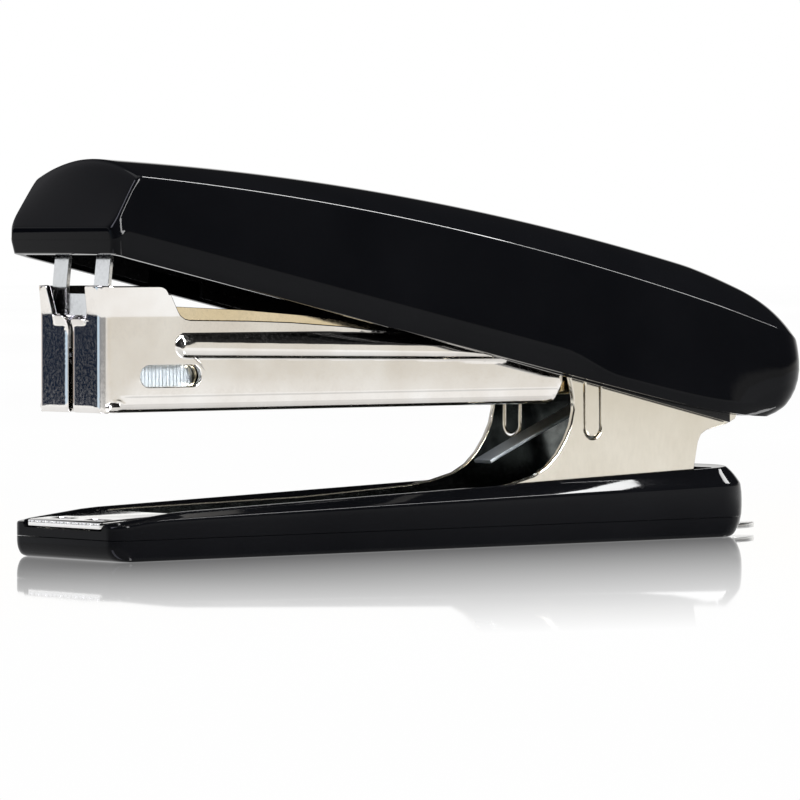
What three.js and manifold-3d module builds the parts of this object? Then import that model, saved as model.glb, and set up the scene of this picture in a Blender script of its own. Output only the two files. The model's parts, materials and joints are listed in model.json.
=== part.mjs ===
// A mini desk stapler: base, magazine, pusher and handle on one pivot pin.
// Millimetres. Lengths run from the nose (x = 0) to the rear (x = LENGTH) while
// a piece is made; finish() then centres it, so the row's origin is below the middle.
import * as THREE from "three";
import { mergeVertices } from "three/addons/utils/BufferGeometryUtils.js";
import Module from "manifold-3d";

const wasm = await Module();
wasm.setup();

// ---- driving dimensions ----
const LENGTH = 108;
const HALF_WIDTH = 10;
const GAP = 0.3;

const PIVOT = { x: 95.5, z: 21.5, r: 1.5, halfLength: 8.3 };
const PIN_HOLE_R = PIVOT.r + GAP;

const COVER = {
  wall: 1, crownZ: 44.8, slope: 0.0317, curve: 0.00106,
  drop: 1.7, dropGrowth: 0.036, edgeFillet: 0.9, draft: 0.5,
  skirtFrontZ: 34.1, skirtSlope: 0.2125, skirtRearZ: 14.2, band: 2.8,
  frontRound: 5, frontFaceZ: 37, cornerFront: 2, cornerRear: 6.5, rearZ: 21.2, rearRound: 7,
  rearWall: 1.5,
};
const ARM = {
  frontX: 3.4, rearX: 103.5, halfWidth: 8.35, wall: 0.5, shoulderHalf: 6.2,
  bottomZ: 34.75, bottomSlope: 0.2237, roofRearX: 88,
  notchX: 18.5, notchLength: 7.7, notchHeight: 1.7, underCover: 0.75,
};
const BLADE = { innerR: 92.7, outerR: 93.15, halfWidth: 5.15, tipZ: 23.5, legInner: 2.5, windowZ: 29.6, tabTopZ: 41 };
const BASE = {
  frontX: 0.3, rearX: 98.5, halfWidth: 9.9, bottomZ: 2.5, floorZ: 3.3,
  cornerFront: 2, cornerRear: 7, cavityHalf: 7.9, cavityRearX: 92.3,
};
const SOLE = { topZ: 2.2, inset: 0.3, grooveHalf: 3.6, grooveZ: 1.5 };
const FRAME = { halfWidth: 7.55, wall: 0.75, bottomZ: 3.6, thickness: 0.6, frontX: 11.4 };
const SHELL = { frontX: 1.3, rearX: 69, halfWidth: 6.1, wall: 0.6, bottomZ: 16.5, cheekZ: 30.4, corner: 1.2 };
const LINER = { frontX: 4.6, floorEndX: 80, halfWidth: 5.2, wall: 0.45, bottomZ: 17.4 };
const WINDOW = { x0: 6.6, x1: 15.1, z0: 19.2, z1: 21.6 };
const RAIL = { frontX: 3.3, rearX: 66, halfWidth: 3.9, wall: 0.6, bottomZ: 18.1, topZ: 22.3 };
const STAPLES = { frontX: 3.3, length: 25, halfWidth: 4.6, wire: 0.5, bottomZ: 18, topZ: 23 };
const ROD = { z: 19.9, r: 0.7, frontX: 4.6, rearX: 69 };
const PUSHER = { frontX: 28.6, length: 6.6, bossLength: 5 };
const STOP = { frontX: 66.3, rearX: 68.6, topZ: 24.3 };
const COIL = { turns: 15, radius: 1.25, wire: 0.2 };

// ---- materials ----
const paint = (color, roughness, metalness) => new THREE.MeshStandardMaterial({ color, roughness, metalness });
const MATERIAL = {
  blackGloss: () => paint(0x101011, 0.15, 0),
  blackMatte: () => paint(0x1b1b1c, 0.6, 0),
  blackSteel: () => paint(0x141416, 0.35, 0.4),
  chrome: () => paint(0xd8d6d0, 0.12, 1),
  zinc: () => paint(0xcfc8b8, 0.35, 1),
  spring: () => paint(0x9a9a98, 0.3, 1),
  brightSteel: () => paint(0xc4c5c8, 0.25, 1),
};

// ---- solids and cuts ----
function toSolid(geometry) {
  const bare = geometry.clone();
  bare.deleteAttribute("normal");
  bare.deleteAttribute("uv");
  const merged = mergeVertices(bare, 1e-5);
  const vertProperties = new Float32Array(merged.attributes.position.array);
  const triVerts = new Uint32Array(merged.index.array);
  return new wasm.Manifold(new wasm.Mesh({ numProp: 3, vertProperties, triVerts }));
}

function toGeometry(solid) {
  const mesh = solid.getMesh();
  const geometry = new THREE.BufferGeometry();
  geometry.setAttribute("position", new THREE.BufferAttribute(new Float32Array(mesh.vertProperties), 3));
  geometry.setIndex(new THREE.BufferAttribute(new Uint32Array(mesh.triVerts), 1));
  return geometry;
}

function cut(solid, ...tools) {
  return tools.reduce((left, tool) => left.subtract(tool), solid);
}

function join(solid, ...others) {
  return others.reduce((left, other) => left.add(other), solid);
}

function extruded(points, depth, holes = []) {
  const shape = new THREE.Shape(points.map(([a, b]) => new THREE.Vector2(a, b)));
  for (const hole of holes) {
    shape.holes.push(new THREE.Path(hole.map(([a, b]) => new THREE.Vector2(a, b))));
  }
  return new THREE.ExtrudeGeometry(shape, { depth, bevelEnabled: false, steps: 1 });
}

// A side-view outline of [x, z] points, from y0 to y1.
function sideSolid(points, y0, y1, holes) {
  const geometry = extruded(points, y1 - y0, holes);
  geometry.rotateX(Math.PI / 2);
  geometry.translate(0, y1, 0);
  return toSolid(geometry);
}

// A plan outline of [x, y] points, from z0 to z1.
function planSolid(points, z0, z1, holes) {
  const geometry = extruded(points, z1 - z0, holes);
  geometry.translate(0, 0, z0);
  return toSolid(geometry);
}

// A front-view outline of [y, z] points, from x0 to x1.
function frontSolid(points, x0, x1, holes) {
  const geometry = extruded(points, x1 - x0, holes);
  const turn = new THREE.Matrix4().makeBasis(
    new THREE.Vector3(0, 1, 0), new THREE.Vector3(0, 0, 1), new THREE.Vector3(1, 0, 0));
  geometry.applyMatrix4(turn);
  geometry.translate(x0, 0, 0);
  return toSolid(geometry);
}

function block(x0, x1, y0, y1, z0, z1) {
  return planSolid([[x0, y0], [x1, y0], [x1, y1], [x0, y1]], z0, z1);
}

function arc(cx, cy, r, fromDeg, toDeg, steps) {
  const points = [];
  for (let i = 0; i <= steps; i++) {
    const a = THREE.MathUtils.degToRad(fromDeg + (toDeg - fromDeg) * i / steps);
    points.push([cx + r * Math.cos(a), cy + r * Math.sin(a)]);
  }
  return points;
}

function circle(cx, cy, r, sides = 24) {
  return arc(cx, cy, r, 0, 360 * (sides - 1) / sides, sides - 1);
}

// A closed skin through rings of equal length, with flat ends.
function loft(rings) {
  const around = rings[0].length;
  const position = rings.flat(2);
  const index = [];
  for (let i = 0; i + 1 < rings.length; i++) {
    for (let j = 0; j < around; j++) {
      const a = i * around + j;
      const b = i * around + (j + 1) % around;
      index.push(a, b, a + around, b, b + around, a + around);
    }
  }
  const lastRing = (rings.length - 1) * around;
  for (let j = 1; j + 1 < around; j++) {
    index.push(0, j + 1, j);
    index.push(lastRing, lastRing + j, lastRing + j + 1);
  }
  const geometry = new THREE.BufferGeometry();
  geometry.setAttribute("position", new THREE.Float32BufferAttribute(position, 3));
  geometry.setIndex(index);
  return toSolid(geometry);
}

function finish(name, solid, material) {
  const geometry = toGeometry(solid);
  geometry.translate(-LENGTH / 2, 0, 0);
  geometry.computeVertexNormals();
  const mesh = new THREE.Mesh(geometry, material());
  mesh.name = name;
  return mesh;
}

// ---- handle cover ----
const crownZ = (x) => COVER.crownZ - COVER.slope * x - COVER.curve * x * x;
const crownDrop = (x) => COVER.drop + COVER.dropGrowth * x;
const skirtZ = (x) => Math.max(COVER.skirtFrontZ - COVER.skirtSlope * x, COVER.skirtRearZ);

// How far a rounded end has closed: 0 at its tip and 1 where it meets the straight run.
function quarterRound(distance, radius) {
  const t = THREE.MathUtils.clamp(distance / radius, 0, 1);
  return Math.sqrt(1 - (1 - t) * (1 - t));
}

function coverStation(x, inset) {
  const fromFront = x - inset;
  const fromRear = LENGTH - inset - x;
  const frontIn = (COVER.cornerFront) * (1 - quarterRound(fromFront, COVER.cornerFront));
  const rearIn = (COVER.cornerRear) * (1 - quarterRound(fromRear, COVER.cornerRear));
  const half = HALF_WIDTH - inset - frontIn - rearIn;
  const frontRise = quarterRound(fromFront, COVER.frontRound);
  const rearRise = quarterRound(fromRear, COVER.rearRound);
  const frontBase = COVER.frontFaceZ;
  const plainTop = crownZ(x) - inset;
  const plainBottom = inset > 0 ? skirtZ(x) - 3 : skirtZ(x);
  let top = frontBase + (plainTop - frontBase) * frontRise;
  top = COVER.rearZ + (top - COVER.rearZ) * Math.max(rearRise, 0.12);
  const bottom = COVER.rearZ + (plainBottom - COVER.rearZ) * (inset > 0 ? 1 : Math.max(rearRise, 0.12));
  const drop = crownDrop(x) * Math.min(frontRise, rearRise);
  return { x, half, top, bottom, drop: Math.min(drop, (top - bottom) * 0.6) };
}

function coverRing(x, inset) {
  const s = coverStation(x, inset);
  const edgeHalf = s.half - COVER.draft * Math.min(1, (s.top - s.bottom) / 10);
  const edgeZ = s.top - s.drop;
  const bandZ = Math.min(s.bottom + COVER.band, s.bottom + (edgeZ - s.bottom) * 0.45);
  const f = Math.min(COVER.edgeFillet, (edgeZ - bandZ) * 0.4);
  const side = [[s.half - 0.3, s.bottom], [s.half, bandZ], [edgeHalf, edgeZ - f], [edgeHalf - f * 0.3, edgeZ - f * 0.2]];
  const crown = [];
  for (const t of [0.88, 0.7, 0.5, 0.25]) {
    crown.push([edgeHalf * t, s.top - s.drop * t * t]);
  }
  const right = [...side, ...crown];
  const left = right.map(([y, z]) => [-y, z]).reverse();
  return [...right, [0, s.top], ...left].map(([y, z]) => [x, y, z]);
}

function coverStations(inset) {
  const nose = [0, 0.15, 0.5, 1.1, 2, 3.3, 5];
  const run = [9, 16, 26, 38, 50, 62, 74, 84, 92, 97];
  const tail = [6.4, 5.2, 4, 2.9, 1.9, 1.1, 0.5, 0.12, 0];
  const front = nose.map((d) => inset + d);
  const rear = tail.map((d) => LENGTH - inset - d);
  return [...front, ...run, ...rear];
}

function handleCover() {
  const outer = loft(coverStations(0).map((x) => coverRing(x, 0)));
  const rearLimit = LENGTH - COVER.rearWall;
  const inner = loft(coverStations(COVER.wall).map((x) => coverRing(Math.min(x, rearLimit), COVER.wall)
    .map(([, y, z]) => [x, y, z])));
  return finish("handle_cover", cut(outer, inner), MATERIAL.blackGloss);
}

// ---- handle arm, blade and rivets ----
const armBottomZ = (x) => ARM.bottomZ - ARM.bottomSlope * x;
const armRoofZ = (x) => crownZ(x) - COVER.wall - ARM.underCover - crownDrop(x) * (ARM.shoulderHalf / 9.3) ** 2;
const armShoulderZ = (x) => crownZ(x) - crownDrop(x) - 1.9;

function armRing(x, inset) {
  const half = ARM.halfWidth - inset;
  const bottom = inset > 0 ? armBottomZ(x) - 2 : armBottomZ(x);
  const right = [[half, bottom], [half, armShoulderZ(x) - inset * 0.4], [ARM.shoulderHalf - inset * 0.4, armRoofZ(x) - inset]];
  const left = right.map(([y, z]) => [-y, z]).reverse();
  return [...right, ...left].map(([y, z]) => [x, y, z]);
}

function handleArm() {
  const stations = [ARM.frontX, 16, 30, 44, 58, 72, 84, 94];
  const outer = loft([...stations, ARM.rearX - 2].map((x) => armRing(x, 0)));
  const inner = loft([0, ...stations, LENGTH].map((x) => armRing(x, ARM.wall)));
  const rearGap = block(ARM.roofRearX, LENGTH, -ARM.halfWidth + ARM.wall, ARM.halfWidth - ARM.wall, 0, 50);
  const notchTop = armBottomZ(ARM.notchX) + ARM.notchHeight;
  const notchEnd = ARM.notchX + ARM.notchLength;
  const notchDrop = ARM.bottomSlope * ARM.notchLength;
  const notch = sideSolid([[ARM.notchX, 20], [notchEnd, 20], [notchEnd, notchTop - notchDrop], [ARM.notchX, notchTop]],
    -HALF_WIDTH, HALF_WIDTH);
  const pinHole = sideSolid(circle(PIVOT.x, PIVOT.z, PIN_HOLE_R), -HALF_WIDTH, HALF_WIDTH);
  const corner = [[94, 0], [110, 0], [110, 40], [101, 40], ...arc(95.5, 21.5, 6.2, 60, -90, 8), [94, 15]];
  const roundEnd = sideSolid(corner, -HALF_WIDTH, HALF_WIDTH);
  const noseSlant = sideSolid([[-2, 35.9], [8, 43.9], [-2, 50]], -HALF_WIDTH, HALF_WIDTH);
  const rivetHoles = [-1, 1].map((side) => planSolid(circle(7.5, side * 3.4, 1.3, 16), 38, 46));
  return finish("handle_arm", cut(outer, inner, rearGap, notch, pinHole, roundEnd, noseSlant, ...rivetHoles), MATERIAL.blackSteel);
}

function arcAboutPivot(r, z) {
  const rise = z - PIVOT.z;
  return [PIVOT.x - Math.sqrt(r * r - rise * rise), z];
}

function driverBlade() {
  const levels = [BLADE.tipZ, 27, 30.5, 34, 37.5];
  const front = [...levels, BLADE.tabTopZ].map((z) => arcAboutPivot(BLADE.outerR, z));
  const back = [...levels, BLADE.tabTopZ - 0.5].map((z) => arcAboutPivot(BLADE.innerR, z)).reverse();
  const outline = [...front, [10.5, BLADE.tabTopZ], [10.5, BLADE.tabTopZ - 0.5], ...back];
  const plate = sideSolid(outline, -BLADE.halfWidth, BLADE.halfWidth);
  const legGap = block(0, 6, -BLADE.legInner, BLADE.legInner, BLADE.windowZ, BLADE.tabTopZ - 2.2);
  const holes = [-1, 1].map((side) => planSolid(circle(7.5, side * 3.4, 1.3, 16), 38, 46));
  return finish("driver_blade", cut(plate, legGap, ...holes), MATERIAL.brightSteel);
}

function turned(profile, x, y, sides = 16) {
  const points = profile.map(([r, z]) => new THREE.Vector2(r, z));
  const geometry = new THREE.LatheGeometry(points, sides);
  geometry.rotateX(Math.PI / 2);
  geometry.translate(x, y, 0);
  return toSolid(geometry);
}

function rivet(name, x, y, z0, z1, shankR, headR, headHeight) {
  const profile = [[0, z0], [shankR, z0], [shankR, z1], [headR, z1], [headR * 0.8, z1 + headHeight], [0, z1 + headHeight]];
  return finish(name, turned(profile, x, y), MATERIAL.spring);
}

function driverRivets() {
  return [["near", -1], ["far", 1]].map(([word, side]) => {
    const headTop = BLADE.tabTopZ - 0.8;
    const profile = [[0, headTop - 0.7], [1.6, headTop - 0.7], [2, headTop], [1, headTop], [1, 42], [0, 42]];
    return finish(`driver_rivet_${word}`, turned(profile, 7.5, side * 3.4), MATERIAL.spring);
  });
}

// ---- base ----
const rimZ = (x) => (x < 8 ? 4.5 + 0.11 * x : 5.35 + 0.0345 * (x - 8));
const shoulderZ = (x) => (x < 5 ? 4.1 + 0.08 * x : 4.5 + 0.0205 * (x - 5));

function baseHalf(x, inset) {
  const front = BASE.cornerFront * (1 - quarterRound(x - BASE.frontX - inset, BASE.cornerFront));
  const rear = BASE.cornerRear * (1 - quarterRound(BASE.rearX - inset - x, BASE.cornerRear));
  return BASE.halfWidth - inset - front - rear;
}

function baseRing(x) {
  const half = baseHalf(x, 0);
  const rearFall = quarterRound(BASE.rearX - x, 3.5);
  const top = BASE.bottomZ + 2.2 + (rimZ(x) - BASE.bottomZ - 2.2) * rearFall;
  const shoulder = Math.min(shoulderZ(x), top - 0.4);
  const flat = Math.min(BASE.cavityHalf + 0.4, half * 0.8);
  const right = [[half - 0.2, BASE.bottomZ], [half, BASE.bottomZ + 0.3], [half, shoulder],
    [half - (half - flat) * 0.4, shoulder + (top - shoulder) * 0.7], [flat, top]];
  const left = right.map(([y, z]) => [-y, z]).reverse();
  return [...right, ...left].map(([y, z]) => [x, y, z]);
}

function baseStations() {
  const nose = [0, 0.2, 0.7, 1.3, 2, 5, 8].map((d) => BASE.frontX + d);
  const run = [20, 40, 60, 80];
  const tail = [7, 5.2, 3.6, 2.4, 1.4, 0.6, 0.15, 0].map((d) => BASE.rearX - d);
  return [...nose, ...run, ...tail];
}

const RIVETS = { frontX: 74, rearX: 88.5, shankR: 1.2, holeR: 1.5 };

function rivetHoles() {
  return [RIVETS.frontX, RIVETS.rearX].map((x) => planSolid(circle(x, 0, RIVETS.holeR, 16), 0, 8));
}

function baseShell() {
  const outer = loft(baseStations().map(baseRing));
  const r = 1.5;
  const side = BASE.cavityHalf;
  const end = BASE.cavityRearX;
  const cavityPlan = [[1.9, 0.5 - side], [2.4, -side], ...arc(end - r, r - side, r, 270, 360, 4),
    ...arc(end - r, side - r, r, 0, 90, 4), [2.4, side], [1.9, side - 0.5]];
  const cavity = planSolid(cavityPlan, BASE.floorZ, 20);
  const lipNotch = frontSolid([[-6.8, 3.4], [6.8, 3.4], [7.4, 4.7], [7.4, 8], [-7.4, 8], [-7.4, 4.7]], -1, 3);
  return finish("base_shell", cut(outer, cavity, lipNotch, ...rivetHoles()), MATERIAL.blackGloss);
}

function baseSole() {
  const inset = SOLE.inset;
  const front = BASE.frontX + inset;
  const rear = BASE.rearX - inset;
  const half = BASE.halfWidth - inset;
  const plan = [
    ...arc(front + 2, -half + 2, 2, 180, 270, 4), ...arc(rear - 7, -half + 7, 7, 270, 360, 8),
    ...arc(rear - 7, half - 7, 7, 0, 90, 8), ...arc(front + 2, half - 2, 2, 90, 180, 4)];
  const plate = planSolid(plan, 0, SOLE.topZ);
  const groove = block(76, 110, -SOLE.grooveHalf, SOLE.grooveHalf, -1, SOLE.grooveZ);
  return finish("base_sole", cut(plate, groove), MATERIAL.blackMatte);
}

function earOutline() {
  return [
    [FRAME.frontX, FRAME.bottomZ], [FRAME.frontX, 4.9], [14, 5.2], [40, 6.3], [60.4, 7.2], [62.8, 7.5], [64.6, 8],
    [66.6, 9.6], [68.2, 11.5], [69.3, 13.4], [69.7, 15.5], [69.3, 18], [68.6, 20.5], [68.5, 22.6], [69.5, 23.4],
    [94.8, 24.6], ...arc(PIVOT.x, PIVOT.z, 3.2, 80, 0, 6), [98.4, 19.4], [97.5, 17.2], [96.4, 15.2],
    [95.2, 13.9], [92.5, 13.1], [90.6, 12.6], [89.7, 11.6], [89.2, 10], [88.9, 8.4], [88.6, FRAME.bottomZ]].reverse();
}

function baseFrame() {
  const inner = FRAME.halfWidth - FRAME.wall;
  const sides = [[-FRAME.halfWidth, -inner], [inner, FRAME.halfWidth]].map(([y0, y1]) => sideSolid(earOutline(), y0, y1));
  const floor = block(FRAME.frontX, 90.5, -FRAME.halfWidth, FRAME.halfWidth, FRAME.bottomZ, FRAME.bottomZ + FRAME.thickness);
  const pinHole = sideSolid(circle(PIVOT.x, PIVOT.z, PIN_HOLE_R), -HALF_WIDTH, HALF_WIDTH);
  const slitOuter = arc(72.6, 13.5, 1.4, 180, 360, 8);
  const slitInner = arc(72.6, 13.5, 1.05, 360, 180, 8);
  const slit = [[71.2, 18.7], ...slitOuter, [74, 18.7], [73.65, 18.7], ...slitInner, [71.55, 18.7]];
  const lanced = sideSolid(slit, -HALF_WIDTH, HALF_WIDTH);
  return finish("base_frame", cut(join(floor, ...sides), pinHole, lanced, ...rivetHoles()), MATERIAL.zinc);
}

function anvilPlate() {
  const top = 4.3;
  const plan = [[0.5, -5.9], [1.5, -6.5], [11, -6.5], [11, 6.5], [1.5, 6.5], [0.5, 5.9]];
  const plate = planSolid(plan, 3.7, top);
  const grooves = [-1, 1].map((side) => {
    const inner = side * 1.3;
    const outer = side * 4.9;
    const outline = [[inner, top + 0.2], [inner + side * 0.4, top - 0.32], [outer - side * 0.4, top - 0.32], [outer, top + 0.2]];
    return frontSolid(side > 0 ? outline.reverse() : outline, 2.3, 3.5);
  });
  return finish("anvil_plate", cut(plate, ...grooves), MATERIAL.chrome);
}

function stapleRemover() {
  const plan = [[78, -2.8], [102.5, -2.8], [105.4, -1.8], [106.2, -0.9], [106.2, 0.9], [105.4, 1.8], [102.5, 2.8], [78, 2.8]];
  return finish("staple_remover", planSolid(plan, 0.5, 1.15), MATERIAL.brightSteel);
}

// A leaf of even thickness whose middle line runs through [x, z] points.
function leaf(points, thickness, halfWidth) {
  const curve = new THREE.CatmullRomCurve3(points.map(([x, z]) => new THREE.Vector3(x, 0, z)));
  const steps = 18;
  const upper = [];
  const lower = [];
  for (let i = 0; i <= steps; i++) {
    const p = curve.getPoint(i / steps);
    const t = curve.getTangent(i / steps);
    upper.push([p.x - t.z * thickness / 2, p.z + t.x * thickness / 2]);
    lower.push([p.x + t.z * thickness / 2, p.z - t.x * thickness / 2]);
  }
  return sideSolid([...lower, ...upper.reverse()], -halfWidth, halfWidth);
}

function liftSpring() {
  const strip = leaf([[91, 4.7], [88.5, 4.7], [86, 4.9], [84, 7.2], [82.6, 11], [80.9, 15.4], [79, 16.8], [77.6, 16.5]], 0.4, 2.6);
  const hole = planSolid(circle(RIVETS.rearX, 0, RIVETS.holeR, 16), 3, 6);
  return finish("lift_spring", cut(strip, hole), MATERIAL.spring);
}

function pivotPin() {
  const pin = sideSolid(circle(PIVOT.x, PIVOT.z, PIVOT.r), -PIVOT.halfLength, PIVOT.halfLength);
  return finish("pivot_pin", pin, MATERIAL.spring);
}

function baseParts() {
  return [
    baseShell(), baseSole(), baseFrame(), anvilPlate(), stapleRemover(), liftSpring(), pivotPin(),
    rivet("frame_rivet_front", RIVETS.frontX, 0, 2.6, 4.6, RIVETS.shankR, 2.2, 0.7),
    rivet("frame_rivet_rear", RIVETS.rearX, 0, 2.6, 5.3, RIVETS.shankR, 2.2, 0.7)];
}

// ---- magazine ----
function stadium(x0, x1, z0, z1) {
  const r = (z1 - z0) / 2;
  const middle = (z0 + z1) / 2;
  return [...arc(x1 - r, middle, r, -90, 90, 8), ...arc(x0 + r, middle, r, 90, 270, 8)];
}

function shellPlan(inset, rearX) {
  const half = SHELL.halfWidth - inset;
  const front = SHELL.frontX + inset;
  const r = SHELL.corner - inset;
  return [[rearX, -half], [rearX, half], ...arc(front + r, half - r, r, 90, 180, 4), ...arc(front + r, -half + r, r, 180, 270, 4)];
}

function magazineShell() {
  const { wall, halfWidth, bottomZ, cheekZ, frontX, rearX } = SHELL;
  const block0 = planSolid(shellPlan(0, rearX), bottomZ, cheekZ);
  const section = [[-halfWidth, cheekZ], ...arc(-halfWidth + 1, bottomZ + 1, 1, 180, 270, 4),
    ...arc(halfWidth - 1, bottomZ + 1, 1, 270, 360, 4), [halfWidth, cheekZ]];
  const rounded = block0.intersect(frontSolid(section, 0, rearX + 1));
  const hollow = planSolid(shellPlan(wall, rearX + 2), bottomZ + wall, cheekZ + 1);
  const sky = sideSolid([[9.3, 40], [9.3, cheekZ], [11.3, 27.5], [12.4, 26.6], [36, 25.7], [68, 24.2], [80, 24], [80, 40]].reverse(),
    -HALF_WIDTH, HALF_WIDTH);
  const seam = frontSolid([[-0.42, 0], [0.42, 0], [0.42, 25.9], [1.9, 26.4], [4.3, 30], [4.3, 40],
    [-4.3, 40], [-4.3, 30], [-1.9, 26.4], [-0.42, 25.9]], 0, frontX + wall + 0.3);
  const exit = block(frontX + wall, 3.6, -5.45, 5.45, 0, bottomZ + wall + 0.3);
  const windows = sideSolid(stadium(WINDOW.x0, WINDOW.x1, WINDOW.z0, WINDOW.z1), -HALF_WIDTH, HALF_WIDTH);
  const rearCorner = sideSolid([[67, 10], [75, 10], [75, 19.5], [rearX, 19.5], [68.4, 17.6]], -HALF_WIDTH, HALF_WIDTH);
  const beads = [-1, 1].map((side) => {
    const inner = halfWidth - 0.2;
    const outline = [[11.7, 22.4], [61, 21.4], [61, 23.8], [11.7, 25]];
    return sideSolid(outline, Math.min(side * inner, side * (halfWidth + 0.3)), Math.max(side * inner, side * (halfWidth + 0.3)));
  });
  const body = cut(rounded, hollow, sky, seam, exit, windows, rearCorner);
  return finish("magazine_shell", join(body, ...beads), MATERIAL.chrome);
}

function linerOutline() {
  return [
    [LINER.frontX, LINER.bottomZ], [82, LINER.bottomZ], [88.5, 15], [91.6, 11.6], [96.3, 11.4], [97, 12.1],
    [96.8, 14.5], [98.6, 18.8], ...arc(PIVOT.x, PIVOT.z, 3.7, -20, 90, 7),
    [60, 26.4], [34, 28.5], [16, 28.9], [13.8, 28.8], [11.4, 27.9], [10.4, 27.4], [LINER.frontX, 27.2]];
}

function magazineLiner() {
  const inner = LINER.halfWidth - LINER.wall;
  const walls = [[-LINER.halfWidth, -inner], [inner, LINER.halfWidth]].map(([y0, y1]) => sideSolid(linerOutline(), y0, y1));
  const floor = block(LINER.frontX, LINER.floorEndX, -LINER.halfWidth, LINER.halfWidth, LINER.bottomZ, LINER.bottomZ + 0.4);
  const pinHole = sideSolid(circle(PIVOT.x, PIVOT.z, PIN_HOLE_R), -HALF_WIDTH, HALF_WIDTH);
  const windows = sideSolid(stadium(WINDOW.x0, WINDOW.x1, WINDOW.z0, WINDOW.z1), -HALF_WIDTH, HALF_WIDTH);
  return finish("magazine_liner", cut(join(floor, ...walls), pinHole, windows), MATERIAL.brightSteel);
}

// An upside-down U in front view.
function saddle(halfWidth, wall, bottomZ, topZ, roof) {
  const inner = halfWidth - wall;
  return [[halfWidth, bottomZ], [halfWidth, topZ], [-halfWidth, topZ], [-halfWidth, bottomZ],
    [-inner, bottomZ], [-inner, topZ - roof], [inner, topZ - roof], [inner, bottomZ]];
}

function stapleRail() {
  const rail = frontSolid(saddle(RAIL.halfWidth, RAIL.wall, RAIL.bottomZ, RAIL.topZ, RAIL.wall), RAIL.frontX, RAIL.rearX);
  const slot = block(28.4, RAIL.rearX - 1, -0.85, 0.85, 20, 30);
  return finish("staple_rail", cut(rail, slot), MATERIAL.brightSteel);
}

function stapleStrip() {
  const { frontX, length, halfWidth, wire, bottomZ, topZ } = STAPLES;
  const strip = frontSolid(saddle(halfWidth, wire, bottomZ, topZ, wire), frontX, frontX + length);
  return finish("staple_strip", strip, MATERIAL.brightSteel);
}

function guideRod() {
  const rod = frontSolid(circle(0, ROD.z, ROD.r, 12), ROD.frontX, ROD.rearX);
  return finish("guide_rod", rod, MATERIAL.spring);
}

function rodStop() {
  const outline = [[-4.4, 18.1], [4.4, 18.1], [4.4, STOP.topZ], [-4.4, STOP.topZ]];
  const stop = frontSolid(outline, STOP.frontX, STOP.rearX, [circle(0, ROD.z, ROD.r + GAP, 12)]);
  return finish("rod_stop", stop, MATERIAL.zinc);
}

class Helix extends THREE.Curve {
  constructor(x0, x1, z, radius, turns) {
    super();
    Object.assign(this, { x0, x1, z, radius, turns });
  }

  getPoint(t, target = new THREE.Vector3()) {
    const a = t * this.turns * 2 * Math.PI;
    return target.set(this.x0 + (this.x1 - this.x0) * t, this.radius * Math.cos(a), this.z + this.radius * Math.sin(a));
  }
}

function pusherSpring() {
  const x0 = PUSHER.frontX + PUSHER.bossLength + 0.6;
  const path = new Helix(x0, STOP.frontX - 0.6, ROD.z, COIL.radius, COIL.turns);
  const wire = new THREE.Shape(circle(0, 0, COIL.wire, 5).map(([a, b]) => new THREE.Vector2(a, b)));
  const geometry = new THREE.ExtrudeGeometry(wire, { extrudePath: path, steps: COIL.turns * 10, bevelEnabled: false });
  return finish("pusher_spring", toSolid(geometry), MATERIAL.spring);
}

function returnSpring() {
  const strip = leaf([[67, 24.9], [69.5, 24.9], [71.4, 25.6], [70.4, 27.6], [64, 30.6], [55, 34.4], [49.5, 36], [46.5, 36.6]], 0.4, 2.6);
  return finish("return_spring", strip, MATERIAL.spring);
}

function magazineParts() {
  return [
    magazineShell(), magazineLiner(), stapleRail(), stapleStrip(), guideRod(), rodStop(), pusherSpring(), returnSpring()];
}

// ---- pusher ----
function pusher() {
  const { frontX, length, bossLength } = PUSHER;
  const body = frontSolid(saddle(4.45, 0.3, 18.3, 23.3, 0.7), frontX, frontX + length);
  const web = block(frontX, frontX + bossLength, -0.5, 0.5, 21, 22.9);
  const boss = frontSolid(circle(0, ROD.z, 1.45, 16), frontX, frontX + bossLength);
  const bore = frontSolid(circle(0, ROD.z, ROD.r + GAP, 12), frontX - 1, frontX + length + 1);
  return finish("pusher", cut(join(body, web, boss), bore), MATERIAL.blackMatte);
}

// ---- the whole stapler ----
const stapler = new THREE.Group();
stapler.name = "mini_stapler";
stapler.add(...baseParts(), ...magazineParts(), pusher());
stapler.add(handleCover(), handleArm(), driverBlade(), ...driverRivets());

export default stapler;
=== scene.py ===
"""Looks of a mini desk stapler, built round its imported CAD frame.

Lengths are millimetres until to_metres(): x runs from the nose to the rear, y to the far side and z up.
"""
import json
import math
from contextlib import contextmanager

import bmesh
import bpy
from mathutils import Matrix, Vector
from mathutils.bvhtree import BVHTree
from mathutils.geometry import delaunay_2d_cdt

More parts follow.
